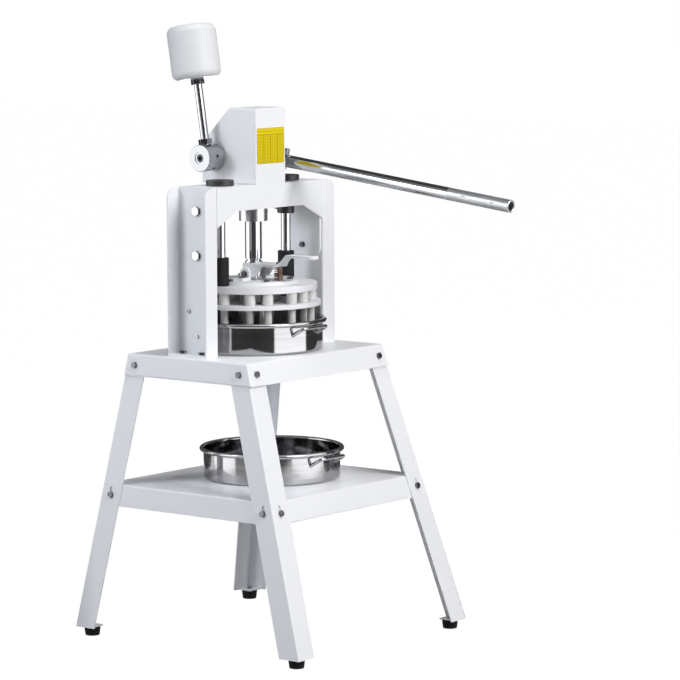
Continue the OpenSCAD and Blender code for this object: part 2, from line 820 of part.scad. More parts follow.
pinion_points = [
    for (i = [0 : pinion_teeth - 1]) let (mid = (i + 0.5) * 360 / pinion_teeth) each [
        polar(root_r, mid - tooth_half(base_r)),
        for (k = [0 : flank_steps]) polar(flank_r(k), mid - tooth_half(flank_r(k))),
        for (k = [flank_steps : -1 : 0]) polar(flank_r(k), mid + tooth_half(flank_r(k))),
        polar(root_r, mid + tooth_half(base_r))
    ]
];

module pinion_gear() color(plain_steel) placed() difference() {
    on_shaft(-gear_w / 2) linear_extrude(gear_w) difference() {
        rotate([0, 0, 180]) polygon(pinion_points);
        circle(d = shaft_d + 2 * run_gap);
    }
    shaft_key(0, gear_w + over, key_gap);
}

module shaft_keys() color(plain_steel) placed() {
    shaft_key(0, gear_w - 2 * hole_gap, 0);
    for (way = [-1, 1]) shaft_key(way * hub_mid_x, hub_key_l, 0);
}

// A hub on the left end of the shaft, with tommy-bar holes counted from the arm's angle
module left_hub(arm_tilt, arm_d) difference() {
    on_shaft(-hub_out_x) rotate_extrude() polygon([
        [shaft_d / 2 + run_gap, 0],
        [hub_d / 2 - hub_edge, 0],
        [hub_d / 2, hub_edge],
        [hub_d / 2, hub_l - hub_edge],
        [hub_d / 2 - hub_edge, hub_l],
        [shaft_d / 2 + run_gap, hub_l]
    ]);
    shaft_key(-hub_mid_x, hub_key_l, key_gap);
    on_arm(-hub_mid_x, arm_tilt) translate([0, 0, radial_seat])
        cylinder(d = arm_d + 2 * run_gap, h = hub_d / 2);
    for (a = tommy_angles) on_arm(-hub_mid_x, arm_tilt + a)
        translate([0, 0, hub_d / 2 - tommy_h]) cylinder(d = tommy_d, h = tommy_h + over);
}

// A frame at the shaft's axis whose Z points along an arm, tilted from upright towards the front
module on_arm(x, tilt) translate([x, shaft_back, shaft_z]) rotate([tilt, 0, 0]) children();

weight_turn = -weight_tilt;
lever_turn = 90 + lever_drop;

module counterweight_hub() color(plain_steel) placed() left_hub(weight_turn, weight_rod_d);

module lever_hub() color(plain_steel) placed() mirror([1, 0, 0])
    left_hub(lever_turn, lever_bore - 2 * run_gap);

module hub_screws() color(black_rubber) placed() shaft_end() difference() {
    union() {
        translate([0, 0, -hub_screw_head_h]) cylinder(d = hub_screw_head_d, h = hub_screw_head_h);
        translate([0, 0, -hub_screw_head_h - hub_screw_l]) cylinder(d = m10[0], h = hub_screw_l + over);
    }
    translate([0, 0, -hub_socket_h])
        cylinder(d = hub_socket_af * hex_share, h = hub_socket_h + over, $fn = 6);
}

weight_low = weight_reach - weight_h / 2;
weight_bore_h = weight_h * weight_bore_share;

module counterweight_rod() color(chrome_steel) placed() on_arm(-hub_mid_x, weight_turn)
    translate([0, 0, radial_seat + hole_gap])
        cylinder(d = weight_rod_d, h = weight_low + weight_bore_h - radial_seat - over);

module rod_nuts() color(zinc) placed() on_arm(-hub_mid_x, weight_turn) {
    translate([0, 0, hub_d / 2 + hole_gap]) hex_nut(rod_nut);
    translate([0, 0, weight_low - rod_nut[3] - hole_gap]) hex_nut(rod_nut);
}

module counterweight() color(white_paint) placed() on_arm(-hub_mid_x, weight_turn)
    translate([0, 0, weight_low]) difference() {
        rotate_extrude() intersection() {
            translate([-weight_d / 2, 0]) rounded_square([weight_d, weight_h], weight_round);
            square([weight_d, weight_h]);
        }
        translate([0, 0, -over]) cylinder(d = weight_rod_d + 2 * run_gap, h = weight_bore_h + over);
    }

module on_lever() on_arm(hub_mid_x, lever_turn) children();

// The cross hole of the lever bolt, along the frame's Z
module at_lever_bolt() on_lever() translate([0, 0, lever_bolt_reach]) rotate([-90, 0, 0]) children();

module lever_spigot() color(plain_steel) placed() difference() {
    on_lever() translate([0, 0, radial_seat + hole_gap])
        cylinder(d = lever_bore - 2 * run_gap, h = spigot_l - radial_seat);
    at_lever_bolt() translate([0, 0, lever_d / 2]) screw_hole(m10, lever_d + over);
}

module lever_tube() color(chrome_steel) placed() difference() {
    on_lever() rotate_extrude() polygon([
        [lever_bore / 2, lever_start],
        [lever_d / 2, lever_start],
        [lever_d / 2, lever_l - lever_chamfer],
        [lever_d / 2 - lever_chamfer, lever_l],
        [lever_bore / 2 + lever_chamfer, lever_l],
        [lever_bore / 2, lever_l - lever_chamfer]
    ]);
    at_lever_bolt() translate([0, 0, lever_d / 2]) screw_hole(m10, lever_d + over);
}

// A round-headed bolt locks the lever tube on its spigot
module lever_bolt() color(zinc) placed() at_lever_bolt() translate([0, 0, lever_d / 2]) {
    cylinder(d1 = lever_bolt_head_d - lever_bolt_taper, d2 = lever_bolt_head_d, h = lever_bolt_head_h);
    translate([0, 0, -lever_d - 2 * bolt_end]) cylinder(d = m10[0], h = lever_d + 2 * bolt_end + over);
}

// The ram is a ground bar. A ring groove takes the latch, and a flat on its upper back seats the rack
module ram() color(chrome_steel) placed() difference() {
    translate([0, 0, carrier_top_z]) cylinder(d = ram_d, h = rack_top_z - carrier_top_z);
    translate([-ram_d, rack_seat_y, rack_low_z]) cube([2 * ram_d, ram_d, rack_top_z - rack_low_z + over]);
    translate([0, 0, latch_z + latch_t + ram_groove_up]) difference() {
        cylinder(d = ram_d + over, h = ram_groove_w);
        translate([0, 0, -over]) cylinder(d = ram_d - 2 * ram_groove_deep, h = ram_groove_w + 2 * over);
    }
    translate([0, 0, carrier_top_z - over])
        cylinder(d = m12[0] + 2 * hole_gap, h = ram_screw_l - carrier_t + 2 * over);
}

tooth_share = tan(pressure_angle);

// Half thickness of a rack tooth at a distance from the pitch line
function rack_half(y) = (gear_pitch - backlash) / 4 - y * tooth_share;

module rack_bar() color(plain_steel) placed() slab_yz(0, gear_w) {
    root_y = rack_y - root_share * gear_module;
    polygon([
        [rack_seat_y, rack_low_z],
        for (k = [-floor(rack_below) : floor(rack_above)]) let (z = shaft_z + k * gear_pitch) each [
            [root_y, z - min(rack_half(root_y - rack_y), gear_pitch / 2)],
            [rack_y + gear_module, z - rack_half(gear_module)],
            [rack_y + gear_module, z + rack_half(gear_module)],
            [root_y, z + min(rack_half(root_y - rack_y), gear_pitch / 2)]
        ],
        [rack_seat_y, rack_top_z]
    ]);
}

// A countersunk screw joins the knife carrier to the ram
module ram_screw() color(zinc) placed() translate([0, 0, carrier_z]) {
    cylinder(d1 = ram_screw_head_d, d2 = m12[0], h = ram_screw_head_h);
    cylinder(d = m12[0], h = ram_screw_l);
}

module at_blades() for (i = [0 : sectors - 1]) rotate([0, 0, i * 360 / sectors]) children();

// Two posts stand in each outer sector, and four carry the two inner pads
module at_posts() {
    for (i = [0 : sectors - 1], way = [-1, 1])
        rotate([0, 0, (i + 0.5) * 360 / sectors + way * post_spread / 2])
            translate([post_reach, 0, 0]) children();
    for (a = inner_post_angles) rotate([0, 0, a]) translate([inner_post_reach, 0, 0]) children();
}

module knife_carrier() color(white_paint) placed() translate([0, 0, carrier_top_z]) difference() {
    translate([0, 0, -carrier_t]) cylinder(d = carrier_d, h = carrier_t);
    at_posts() screw_hole([post_d + 2 * pass_gap], carrier_t + over);
    at_blades() translate([boss_reach, 0, 0]) screw_hole(m8, carrier_t + over);
    screw_hole(m12, carrier_t + over);
    translate([0, 0, -carrier_t - hole_gap]) cylinder(
        d1 = ram_screw_head_d + 2 * hole_gap,
        d2 = m12[0] + 2 * hole_gap,
        h = ram_screw_head_h + 2 * hole_gap
    );
}

module carrier_bolts() color(zinc) placed() at_blades() translate([boss_reach, 0, carrier_top_z])
    hex_bolt(m8, carrier_t + boss_h - over);

blade_h = carrier_z - knife_z;

module ring_blade() color(stainless) placed() translate([0, 0, knife_z]) difference() {
    cylinder(d = ring_d, h = blade_h);
    translate([0, 0, -over]) cylinder(d = ring_d - 2 * blade_t, h = blade_h + 2 * over);
}

// Straight blades around the ring, each with a tapped boss under the carrier
module radial_blades() color(stainless) placed() at_blades() difference() {
    union() {
        translate([ring_r + weld_gap, -blade_t / 2, knife_z])
            cube([blade_end_r - ring_r - weld_gap, blade_t, blade_h]);
        translate([boss_reach, 0, carrier_z - boss_h]) cylinder(d = boss_d, h = boss_h);
    }
    translate([boss_reach, 0, carrier_z]) screw_hole(m8, boss_h);
}

module centre_blade() color(stainless) placed()
    translate([-blade_t / 2, -ring_r + blade_t + weld_gap, knife_z])
        cube([blade_t, 2 * (ring_r - blade_t - weld_gap), blade_h]);

module at_flange_bolts() for (i = [0 : flange_bolt_count - 1]) rotate([0, 0, i * 360 / flange_bolt_count])
    translate([flange_bolt_reach, 0, flange_top_z]) children();

module at_spring() translate([0, -spring_reach, 0]) children();

module pusher_plate() color(white_paint) placed() difference() {
    translate([0, 0, pusher_z]) cylinder(d = pusher_d, h = pusher_t);
    translate([0, 0, pusher_z - over]) cylinder(d = ram_d + 2 * pass_gap, h = pusher_t + 2 * over);
    both_sides() translate([rod_reach, 0, pusher_top_z - rod_seat])
        cylinder(d = rod_d + 2 * run_gap, h = rod_seat + over);
    at_flange_bolts() screw_hole(m8, hub_flange_t + flange_bolt_deep + over);
    at_spring() translate([0, 0, flange_top_z]) screw_hole(m6, hub_flange_t + spring_seat_deep + over);
    both_sides() translate([bracket_screw_x, 0, pusher_top_z]) screw_hole(m6, 2 * over);
}

module hub_flange() color(white_paint) placed() difference() {
    translate([0, 0, pusher_top_z]) cylinder(d = hub_flange_d, h = hub_flange_t);
    translate([0, 0, pusher_top_z - over]) cylinder(d = ram_d + 2 * pass_gap, h = hub_flange_t + 2 * over);
    at_flange_bolts() screw_hole(m8, hub_flange_t + over);
    at_spring() translate([0, 0, flange_top_z]) screw_hole(m6, hub_flange_t + over);
    both_sides() translate([bracket_screw_x, 0, flange_top_z]) screw_hole(m6, hub_flange_t + over);
    both_sides() translate([rod_reach, 0, pusher_top_z - over])
        cylinder(d = sleeve_d + 2 * pass_gap, h = hub_flange_t + 2 * over);
}

module flange_bolts() color(zinc) placed() at_flange_bolts() hex_bolt(m8, hub_flange_t + flange_bolt_deep);

module guide_rods() color(chrome_steel) placed() both_sides()
    translate([rod_reach, 0, pusher_top_z - rod_seat])
        cylinder(d = rod_d, h = press_z + bush_cap_h - rod_recess - pusher_top_z + rod_seat);

module stop_sleeves() color(black_rubber) placed() both_sides()
    translate([rod_reach, 0, pusher_top_z]) difference() {
        cylinder(d = sleeve_d, h = sleeve_h);
        translate([0, 0, -over]) cylinder(d = rod_d + 2 * run_gap, h = sleeve_h + 2 * over);
    }

// Stepped posts carry the pads through the knife carrier. Their shoulders rest on it
module pusher_posts() color(nylon) placed() at_posts() {
    translate([0, 0, carrier_top_z + step_gap]) cylinder(d = post_top_d, h = disc_gap - step_gap);
    translate([0, 0, pad_top_z]) cylinder(d = post_d, h = carrier_top_z + step_gap - pad_top_z + over);
}

module outer_pads() color(nylon) placed() translate([0, 0, knife_z]) difference() {
    cylinder(r = pad_r, h = pad_t);
    translate([0, 0, -over]) cylinder(r = ring_r + blade_gap, h = pad_t + 2 * over);
    at_blades() translate([0, -blade_t / 2 - blade_gap, -over])
        cube([pan_bore, blade_t + 2 * blade_gap, pad_t + 2 * over]);
}

module inner_pads() color(nylon) placed() translate([0, 0, knife_z]) difference() {
    cylinder(r = ring_r - blade_t - blade_gap, h = pad_t);
    translate([-blade_t / 2 - blade_gap, -ring_r, -over])
        cube([blade_t + 2 * blade_gap, ring_d, pad_t + 2 * over]);
}

// The latch's pivots, with Z pointing away from the ram
module at_latch_pivot(x) both_sides() translate([x, 0, latch_pivot_z]) rotate([0, 90, 0]) children();

// Two ears stand on the hub flange beside the ram, each with a screwed foot
module latch_bracket() color(white_paint) placed() both_sides() difference() {
    union() {
        slab_yz(ear_in + ear_t / 2, ear_t) intersection() {
            union() {
                translate([0, latch_pivot_z]) circle(ear_r);
                translate([-ear_r, flange_top_z]) square([2 * ear_r, latch_pivot_h]);
            }
            translate([-ear_r, flange_top_z]) square([2 * ear_r, latch_pivot_h + ear_r]);
        }
        translate([ear_in, -ear_r, flange_top_z]) cube([ear_t + bracket_foot_w, 2 * ear_r, bracket_t]);
    }
    at_latch_pivot(ear_out) screw_hole([pivot_d], ear_t + over);
    translate([bracket_screw_x, 0, flange_top_z + bracket_t]) screw_hole(m6, bracket_t + over);
}

bracket_screw_x = ear_out + m8[2] + hex_share * m6[1] / 2 + bracket_screw_gap;
pivot_d = m8[0] - 2 * hole_gap + 2 * run_gap;

module bracket_screws() color(zinc) placed() both_sides()
    translate([bracket_screw_x, 0, flange_top_z + bracket_t]) hex_bolt(m6, bracket_t + hub_flange_t + over);

module latch_pins() color(zinc) placed() at_latch_pivot(ear_out) hex_bolt(m8, ear_out - cheek_in);

// The latch lever is a cranked plate. Two cheeks hang on the pivots, a tooth faces the ram, and the handle
// points to the operator
module latch_lever() color(white_paint) placed() difference() {
    union() {
        difference() {
            latch_plate();
            translate([0, 0, latch_z - over]) {
                cylinder(r = cheek_in, h = latch_t + 2 * over);
                translate([-cheek_in, 0, 0]) cube([2 * cheek_in, ear_r + 2 * over, latch_t + 2 * over]);
            }
        }
        translate([-tooth_w / 2, -cheek_in - over, latch_z])
            cube([tooth_w, cheek_in + over - ram_d / 2 - tooth_gap, latch_t]);
        both_sides() slab_yz(cheek_in + cheek_t / 2, cheek_t) {
            translate([0, latch_pivot_z]) circle(cheek_r);
            translate([-cheek_r, latch_pivot_z]) square([2 * cheek_r, latch_plate_h + latch_t / 2]);
            polygon([
                [0, latch_pivot_z - cheek_r],
                [0, latch_z + latch_t / 2],
                [-cheek_top, latch_z + latch_t / 2],
                [-cheek_front, latch_pivot_z - cheek_foot]
            ]);
        }
    }
    at_latch_pivot(cheek_out) screw_hole([pivot_d], cheek_t + over);
    at_spring() translate([-m6[0] / 2 - over, -latch_bolt_slot, latch_z - over])
        cube([m6[0] + 2 * over, 2 * latch_bolt_slot, latch_t + 2 * over]);
}

module latch_plate() {
    neck = latch_reach * latch_neck_share;
    ramp_y = spring_reach + latch_bolt_slot + spring_wire;
    handle_r = latch_handle_w / 2;
    handle_end = latch_reach - handle_r;
    intersection() {
        slab_yz(0, 2 * cheek_out) polygon([
            [cheek_r, latch_z],
            [cheek_r, latch_z + latch_t],
            [-ramp_y, latch_z + latch_t],
            [-ramp_y - latch_ramp, latch_z + latch_t + latch_rise],
            [-latch_reach, latch_z + latch_t + latch_rise],
            [-latch_reach, latch_z + latch_rise],
            [-ramp_y - latch_ramp + latch_t / 2, latch_z + latch_rise],
            [-ramp_y + latch_t / 2, latch_z]
        ]);
        translate([0, 0, latch_z]) linear_extrude(latch_t + latch_rise) {
            polygon([
                [-cheek_out, cheek_r],
                [cheek_out, cheek_r],
                [cheek_out, -neck],
                [handle_r, -neck - latch_ramp],
                [handle_r, -handle_end],
                [-handle_r, -handle_end],
                [-handle_r, -neck - latch_ramp],
                [-cheek_out, -neck]
            ]);
            translate([0, -handle_end]) circle(handle_r);
        }
    }
}

// The latch spring is one tube along a helix, with a straight end at the flange and at the latch plate
spring_rings = 8;
spring_sides = 6;
spring_rise = spring_top_z - spring_low_z - 2 * spring_wire;
spring_steps = spring_turns * spring_rings;
spring_path = [
    [spring_r, 0, spring_low_z],
    for (i = [0 : spring_steps]) let (a = i * 360 / spring_rings)
        [spring_r * cos(a), spring_r * sin(a), spring_low_z + spring_wire + spring_rise * i / spring_steps],
    [spring_r, 0, spring_top_z]
];

function unit(v) = v / norm(v);

// The ring of points around one point of a path, square to the path there
function ring(path, i, r, sides) =
    let (
        last = len(path) - 1,
        way = unit(path[min(i + 1, last)] - path[max(i - 1, 0)]),
        out = unit([path[i][0], path[i][1], 0]),
        side = unit(cross(way, out)),
        top = cross(side, way)
    ) [for (k = [0 : sides - 1]) path[i] + r * (cos(k * 360 / sides) * top + sin(k * 360 / sides) * side)];

module tube(path, r, sides) {
    last = len(path) - 1;
    points = [for (i = [0 : last]) each ring(path, i, r, sides)];
    walls = [for (i = [0 : last - 1], k = [0 : sides - 1]) let (
        a = i * sides + k,
        b = i * sides + (k + 1) % sides
    ) each [[a, b, b + sides], [a, b + sides, a + sides]]];
    end = last * sides;
    caps = [for (k = [1 : sides - 2]) each [[0, k + 1, k], [end, end + k, end + k + 1]]];
    polyhedron(points, concat(walls, caps));
}

// Least distance between wire surfaces of neighbouring turns
spring_gap = min([for (i = [0 : len(spring_path) - 1], j = [0 : len(spring_path) - 1])
    if (j - i >= spring_rings - 1) norm(spring_path[i] - spring_path[j]) - spring_wire]);
echo(spring_gap = spring_gap);

module latch_spring() color(spring_steel) placed() at_spring()
    tube(spring_path, spring_wire / 2, spring_sides);

module spring_bolt() color(zinc) placed() at_spring() translate([0, 0, latch_z + latch_t + face_gap])
    hex_bolt(m6, latch_t + face_gap + latch_z - pusher_top_z + spring_seat_deep - over);

// Pans have a thin wall with a rounded bottom corner and a rolled rim
pan_out_r = pan_bore / 2 + pan_wall;
pan_rim_r = pan_out_r + rim_d;

module pan_half(r, corner, low) {
    translate([0, low]) square([r - corner, pan_h]);
    translate([0, low + corner]) square([r, pan_h]);
    translate([r - corner, low + corner]) circle(corner);
}

module pan() rotate_extrude($fn = 160) {
    intersection() {
        difference() {
            pan_half(pan_out_r, pan_round, 0);
            pan_half(pan_bore / 2, corner_r, pan_wall);
        }
        square([pan_out_r, pan_h - rim_d / 2]);
    }
    translate([pan_out_r + rim_d / 2 - pan_wall / 2, pan_h - rim_d / 2]) circle(d = rim_d + pan_wall);
}

// A bent rod under the rim: a loop that rises outwards and is welded to the wall with both ends
module bail() {
    seat_y = sqrt(pow(pan_out_r, 2) - pow(bail_w / 2, 2));
    run = (pan_rim_r + bail_out - bail_d / 2 - seat_y) / cos(bail_tilt);
    difference() {
        translate([0, -seat_y, bail_seat]) rotate([-bail_tilt, 0, 0]) {
            both_sides() {
                translate([bail_w / 2, bail_bend - run, 0]) rotate([-90, 0, 0])
                    cylinder(d = bail_d, h = run - bail_bend + bail_d);
                translate([bail_w / 2 - bail_bend, bail_bend - run, 0]) rotate([0, 0, -90])
                    rotate_extrude(angle = 90) translate([bail_bend, 0]) circle(d = bail_d);
            }
            translate([bail_bend - bail_w / 2, -run, 0]) rotate([0, 90, 0])
                cylinder(d = bail_d, h = bail_w - 2 * bail_bend);
        }
        cylinder(r = pan_out_r + run_gap, h = pan_h);
    }
}

module at_press_pan() translate([0, 0, table_h]) children();

module at_shelf_pan() translate([shelf_pan_x, -shelf_pan_forward, shelf_h]) children();

module press_pan() color(stainless) placed() at_press_pan() pan();

module press_pan_handle() color(stainless) placed() at_press_pan() bail();

module shelf_pan() color(stainless) placed() at_shelf_pan() pan();

module shelf_pan_handle() color(stainless) placed() at_shelf_pan() bail();

table_top();
leg_front_left();
leg_front_right();
leg_back_left();
leg_back_right();
lower_shelf();
rubber_feet();
foot_screws();
table_bolts();
shelf_bolts();
stand_nuts();
upright_left();
upright_right();
upright_bolts();
crossbeam();
beam_bolts();
gear_housing();
pan_guides();
guide_screws();
ram_bush();
rod_bushes();
shaft_bushes();
pinion_shaft();
pinion_gear();
shaft_keys();
counterweight_hub();
lever_hub();
hub_screws();
counterweight_rod();
rod_nuts();
counterweight();
lever_spigot();
lever_tube();
lever_bolt();
ram();
rack_bar();
ram_screw();
knife_carrier();
carrier_bolts();
ring_blade();
radial_blades();
centre_blade();
pusher_plate();
hub_flange();
flange_bolts();
guide_rods();
stop_sleeves();
pusher_posts();
outer_pads();
inner_pads();
latch_bracket();
bracket_screws();
latch_pins();
latch_spring();
spring_bolt();
latch_lever();
press_pan();
press_pan_handle();
shelf_pan();
shelf_pan_handle();
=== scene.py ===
import json
from math import atan2, cos, pi, radians, sin, tan

import bmesh
import bpy
from mathutils import Matrix, Vector

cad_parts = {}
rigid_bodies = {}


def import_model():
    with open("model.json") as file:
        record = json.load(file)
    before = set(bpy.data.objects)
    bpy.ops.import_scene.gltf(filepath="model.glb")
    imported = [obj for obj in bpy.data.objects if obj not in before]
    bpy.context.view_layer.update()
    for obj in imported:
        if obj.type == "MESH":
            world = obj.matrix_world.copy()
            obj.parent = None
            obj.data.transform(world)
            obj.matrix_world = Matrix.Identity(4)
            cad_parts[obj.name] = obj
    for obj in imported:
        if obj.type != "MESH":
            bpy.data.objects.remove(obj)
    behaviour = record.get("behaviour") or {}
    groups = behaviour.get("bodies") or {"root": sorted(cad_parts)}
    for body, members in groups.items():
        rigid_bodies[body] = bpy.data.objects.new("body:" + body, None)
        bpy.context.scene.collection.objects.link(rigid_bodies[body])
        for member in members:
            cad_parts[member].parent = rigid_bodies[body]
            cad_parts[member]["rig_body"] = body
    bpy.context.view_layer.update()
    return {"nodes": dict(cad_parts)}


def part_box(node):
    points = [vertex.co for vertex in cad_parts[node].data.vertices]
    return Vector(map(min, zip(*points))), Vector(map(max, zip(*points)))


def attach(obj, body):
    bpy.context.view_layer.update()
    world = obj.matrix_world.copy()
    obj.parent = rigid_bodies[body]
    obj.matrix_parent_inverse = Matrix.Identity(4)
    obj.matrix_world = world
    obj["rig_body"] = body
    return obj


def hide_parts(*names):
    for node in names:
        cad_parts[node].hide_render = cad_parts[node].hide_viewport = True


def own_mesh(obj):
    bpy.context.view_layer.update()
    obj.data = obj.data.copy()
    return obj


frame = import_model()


def new_finish(name, even_values):
    """A material whose even values are set straight on its shader."""
    made = bpy.data.materials.new(name)
    made.use_nodes = True
    for socket, value in even_values.items():
        made.node_tree.nodes["Principled BSDF"].inputs[socket].default_value = value
    return made


def placed_coords(made, centre=(0, 0, 0), turn=(0, 0, 0), stretch=(1, 1, 1)):
    """The piece's own coordinates, seen from a centre, turned and stretched."""
    place = made.node_tree.nodes.new("ShaderNodeTexCoord")
    mapping = made.node_tree.nodes.new("ShaderNodeMapping")
    mapping.vector_type = "TEXTURE"
    mapping.inputs["Location"].default_value = centre
    mapping.inputs["Rotation"].default_value = turn
    mapping.inputs["Scale"].default_value = stretch
    made.node_tree.links.new(place.outputs["Object"], mapping.inputs["Vector"])
    return mapping.outputs["Vector"]


def grain(made, scale, detail=3.0, **placing):
    """Irregular grain, scale grains to the metre, as a value from 0 to 1."""
    noise = made.node_tree.nodes.new("ShaderNodeTexNoise")
    noise.inputs["Scale"].default_value = scale
    noise.inputs["Detail"].default_value = detail
    made.node_tree.links.new(placed_coords(made, **placing), noise.inputs["Vector"])
    return noise.outputs["Fac"]


grain_low = 0.3
grain_high = 0.7


def tint(made, factor, dark, light):
    """Colours the surface between two tones."""
    ramp = made.node_tree.nodes.new("ShaderNodeValToRGB")
    stops = ramp.color_ramp.elements
    for stop, position, tone in zip(stops, (grain_low, grain_high), (dark, light)):
        stop.position = position
        stop.color = (*tone, 1)
    made.node_tree.links.new(factor, ramp.inputs["Fac"])
    shader = made.node_tree.nodes["Principled BSDF"]
    made.node_tree.links.new(ramp.outputs["Color"], shader.inputs["Base Color"])


def sheen_range(made, factor, smooth, rough):
    """Varies the roughness between two values."""
    span = made.node_tree.nodes.new("ShaderNodeMapRange")
    span.inputs["From Min"].default_value = grain_low
    span.inputs["From Max"].default_value = grain_high
    span.inputs["To Min"].default_value = smooth
    span.inputs["To Max"].default_value = rough
    made.node_tree.links.new(factor, span.inputs["Value"])
    shader = made.node_tree.nodes["Principled BSDF"]
    made.node_tree.links.new(span.outputs["Result"], shader.inputs["Roughness"])


def relief(made, factor, depth, strength):
    """Raises the surface by the factor, over any relief that it has already."""
    bump = made.node_tree.nodes.new("ShaderNodeBump")
    bump.inputs["Distance"].default_value = depth
    bump.inputs["Strength"].default_value = strength
    made.node_tree.links.new(factor, bump.inputs["Height"])
    normal = made.node_tree.nodes["Principled BSDF"].inputs["Normal"]
    if normal.is_linked:
        made.node_tree.links.new(normal.links[0].from_socket, bump.inputs["Normal"])
    made.node_tree.links.new(bump.outputs["Normal"], normal)


white_coat = new_finish("white_powder_coat", {"IOR": 1.5, "Specular IOR Level": 0.45})
tint(white_coat, grain(white_coat, scale=5), dark=(0.845, 0.853, 0.884), light=(0.872, 0.879, 0.908))
sheen_range(white_coat, grain(white_coat, scale=60), smooth=0.34, rough=0.46)
relief(white_coat, grain(white_coat, scale=520, detail=2), depth=0.0004, strength=0.10)

merge_reach = 1e-6


def copied(node):
    """A copy of a CAD node's mesh as a new object, merged, with its flat faces whole again."""
    bpy.ops.object.select_all(action="DESELECT")
    flat_within = radians(0.5)
    piece = bpy.data.objects.new(node + "_made", frame["nodes"][node].data.copy())
    bpy.context.scene.collection.objects.link(piece)
    bpy.context.view_layer.objects.active = piece
    piece.select_set(True)
    bpy.ops.mesh.customdata_custom_splitnormals_clear()
    bpy.ops.object.mode_set(mode="EDIT")
    bpy.ops.mesh.select_all(action="SELECT")
    bpy.ops.mesh.remove_doubles(threshold=merge_reach)
    bpy.ops.mesh.dissolve_limited(angle_limit=flat_within)
    bpy.ops.object.mode_set(mode="OBJECT")
    return piece


def select_edges(piece, wanted):
    """Goes into edit mode with the wanted edges selected."""
    bpy.ops.object.mode_set(mode="EDIT")
    bpy.ops.mesh.select_mode(type="EDGE")
    bpy.ops.mesh.select_all(action="DESELECT")
    shape = bmesh.from_edit_mesh(piece.data)
    for edge in shape.edges:
        if edge.is_manifold and wanted(edge):
            edge.select_set(True)
    bmesh.update_edit_mesh(piece.data)


def smoothed(piece, angle=40):
    """Shades a piece smooth between its edges, with flat faces left flat."""
    bpy.ops.object.select_all(action="DESELECT")
    bpy.context.view_layer.objects.active = piece
    piece.select_set(True)
    bpy.ops.object.shade_smooth_by_angle(angle=radians(angle))
    flat = piece.modifiers.new("flat_faces", "WEIGHTED_NORMAL")
    flat.keep_sharp = True
    bpy.ops.object.modifier_apply(modifier=flat.name)


def stands_for(piece, node, finish):
    """Gives a piece its finish and lets it stand for a CAD node."""
    piece.data.materials.clear()
    piece.data.materials.append(finish)
    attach(piece, frame["nodes"][node]["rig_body"])
    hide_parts(node)


def softened(node, finish, edge, fold=0.0):
    """A copy of a CAD node with broken edges. Its sheet folds get a bending radius."""
    piece = copied(node)
    sheet_face = 0.0025
    folded_over = radians(20)
    inside_share = 0.25
    fold_steps = 4
    broken_over = radians(35)
    broken_steps = 2
    if fold:
        for outer, radius in ((True, fold), (False, fold * inside_share)):
            select_edges(piece, lambda e: e.is_convex == outer
                         and e.calc_face_angle() > folded_over
                         and min(f.calc_area() for f in e.link_faces) > sheet_face)
            bpy.ops.mesh.bevel(offset=radius, segments=fold_steps, affect="EDGES")
            bpy.ops.object.mode_set(mode="OBJECT")
    broken = piece.modifiers.new("broken_edges", "BEVEL")
    broken.width = edge
    broken.segments = broken_steps
    broken.limit_method = "ANGLE"
    broken.angle_limit = broken_over
    bpy.ops.object.modifier_apply(modifier=broken.name)
    smoothed(piece)
    stands_for(piece, node, finish)


sheet_edge = 0.0004
sheet_fold = 0.004
softened("table_top", white_coat, edge=sheet_edge, fold=sheet_fold)

# Each leg is a folded angle of the same sheet, with a tab at its foot. It stands inside the
# skirts' corner and is powder coated like the table.
for leg in ("leg_front_left", "leg_front_right", "leg_back_left", "leg_back_right"):
    softened(leg, white_coat, edge=sheet_edge, fold=sheet_fold)

# The lower shelf is a second tray, folded from the same sheet and powder coated. It hangs between
# the legs on bolts in keyhole slots.
softened("lower_shelf", white_coat, edge=sheet_edge, fold=sheet_fold)

# Moulded rubber feet, matt black and slightly tapered. A zinc plated screw holds each one to its
# leg's tab.
rubber = new_finish("black_rubber", {"IOR": 1.5, "Specular IOR Level": 0.22})
tint(rubber, grain(rubber, scale=120), dark=(0.005, 0.005, 0.006), light=(0.011, 0.011, 0.012))
sheen_range(rubber, grain(rubber, scale=300), smooth=0.55, rough=0.75)
relief(rubber, grain(rubber, scale=1500, detail=2), depth=0.0003, strength=0.2)
softened("rubber_feet", rubber, edge=0.0012)

zinc = new_finish("zinc_plate", {"Metallic": 1.0})
tint(zinc, grain(zinc, scale=180), dark=(0.23, 0.24, 0.26), light=(0.33, 0.34, 0.36))
sheen_range(zinc, grain(zinc, scale=420), smooth=0.10, rough=0.22)
relief(zinc, grain(zinc, scale=900), depth=0.0002, strength=0.12)
softened("foot_screws", zinc, edge=0.0004)

# Hexagon bolts and nuts of dull zinc plated steel hold the stand together. Their heads are
# chamfered.
dull_zinc = new_finish("dull_zinc_plate", {"Metallic": 1.0})
tint(dull_zinc, grain(dull_zinc, scale=260), dark=(0.07, 0.07, 0.08), light=(0.22, 0.22, 0.235))
sheen_range(dull_zinc, grain(dull_zinc, scale=420), smooth=0.16, rough=0.30)
relief(dull_zinc, grain(dull_zinc, scale=900), depth=0.0002, strength=0.12)
for fastener in ("table_bolts", "shelf_bolts", "stand_nuts"):
    softened(fastener, dull_zinc, edge=0.0006)

# The uprights are channels of 4 mm plate that open outwards, with a welded foot plate. They are
# bolted through the table and powder coated.
for upright in ("upright_left", "upright_right"):
    softened(upright, white_coat, edge=0.0006)
softened("upright_bolts", zinc, edge=0.0007)

# The crossbeam is a box of welded plates between the uprights. Its front plate runs up as the
# front of the gear housing.
softened("crossbeam", white_coat, edge=0.0007)

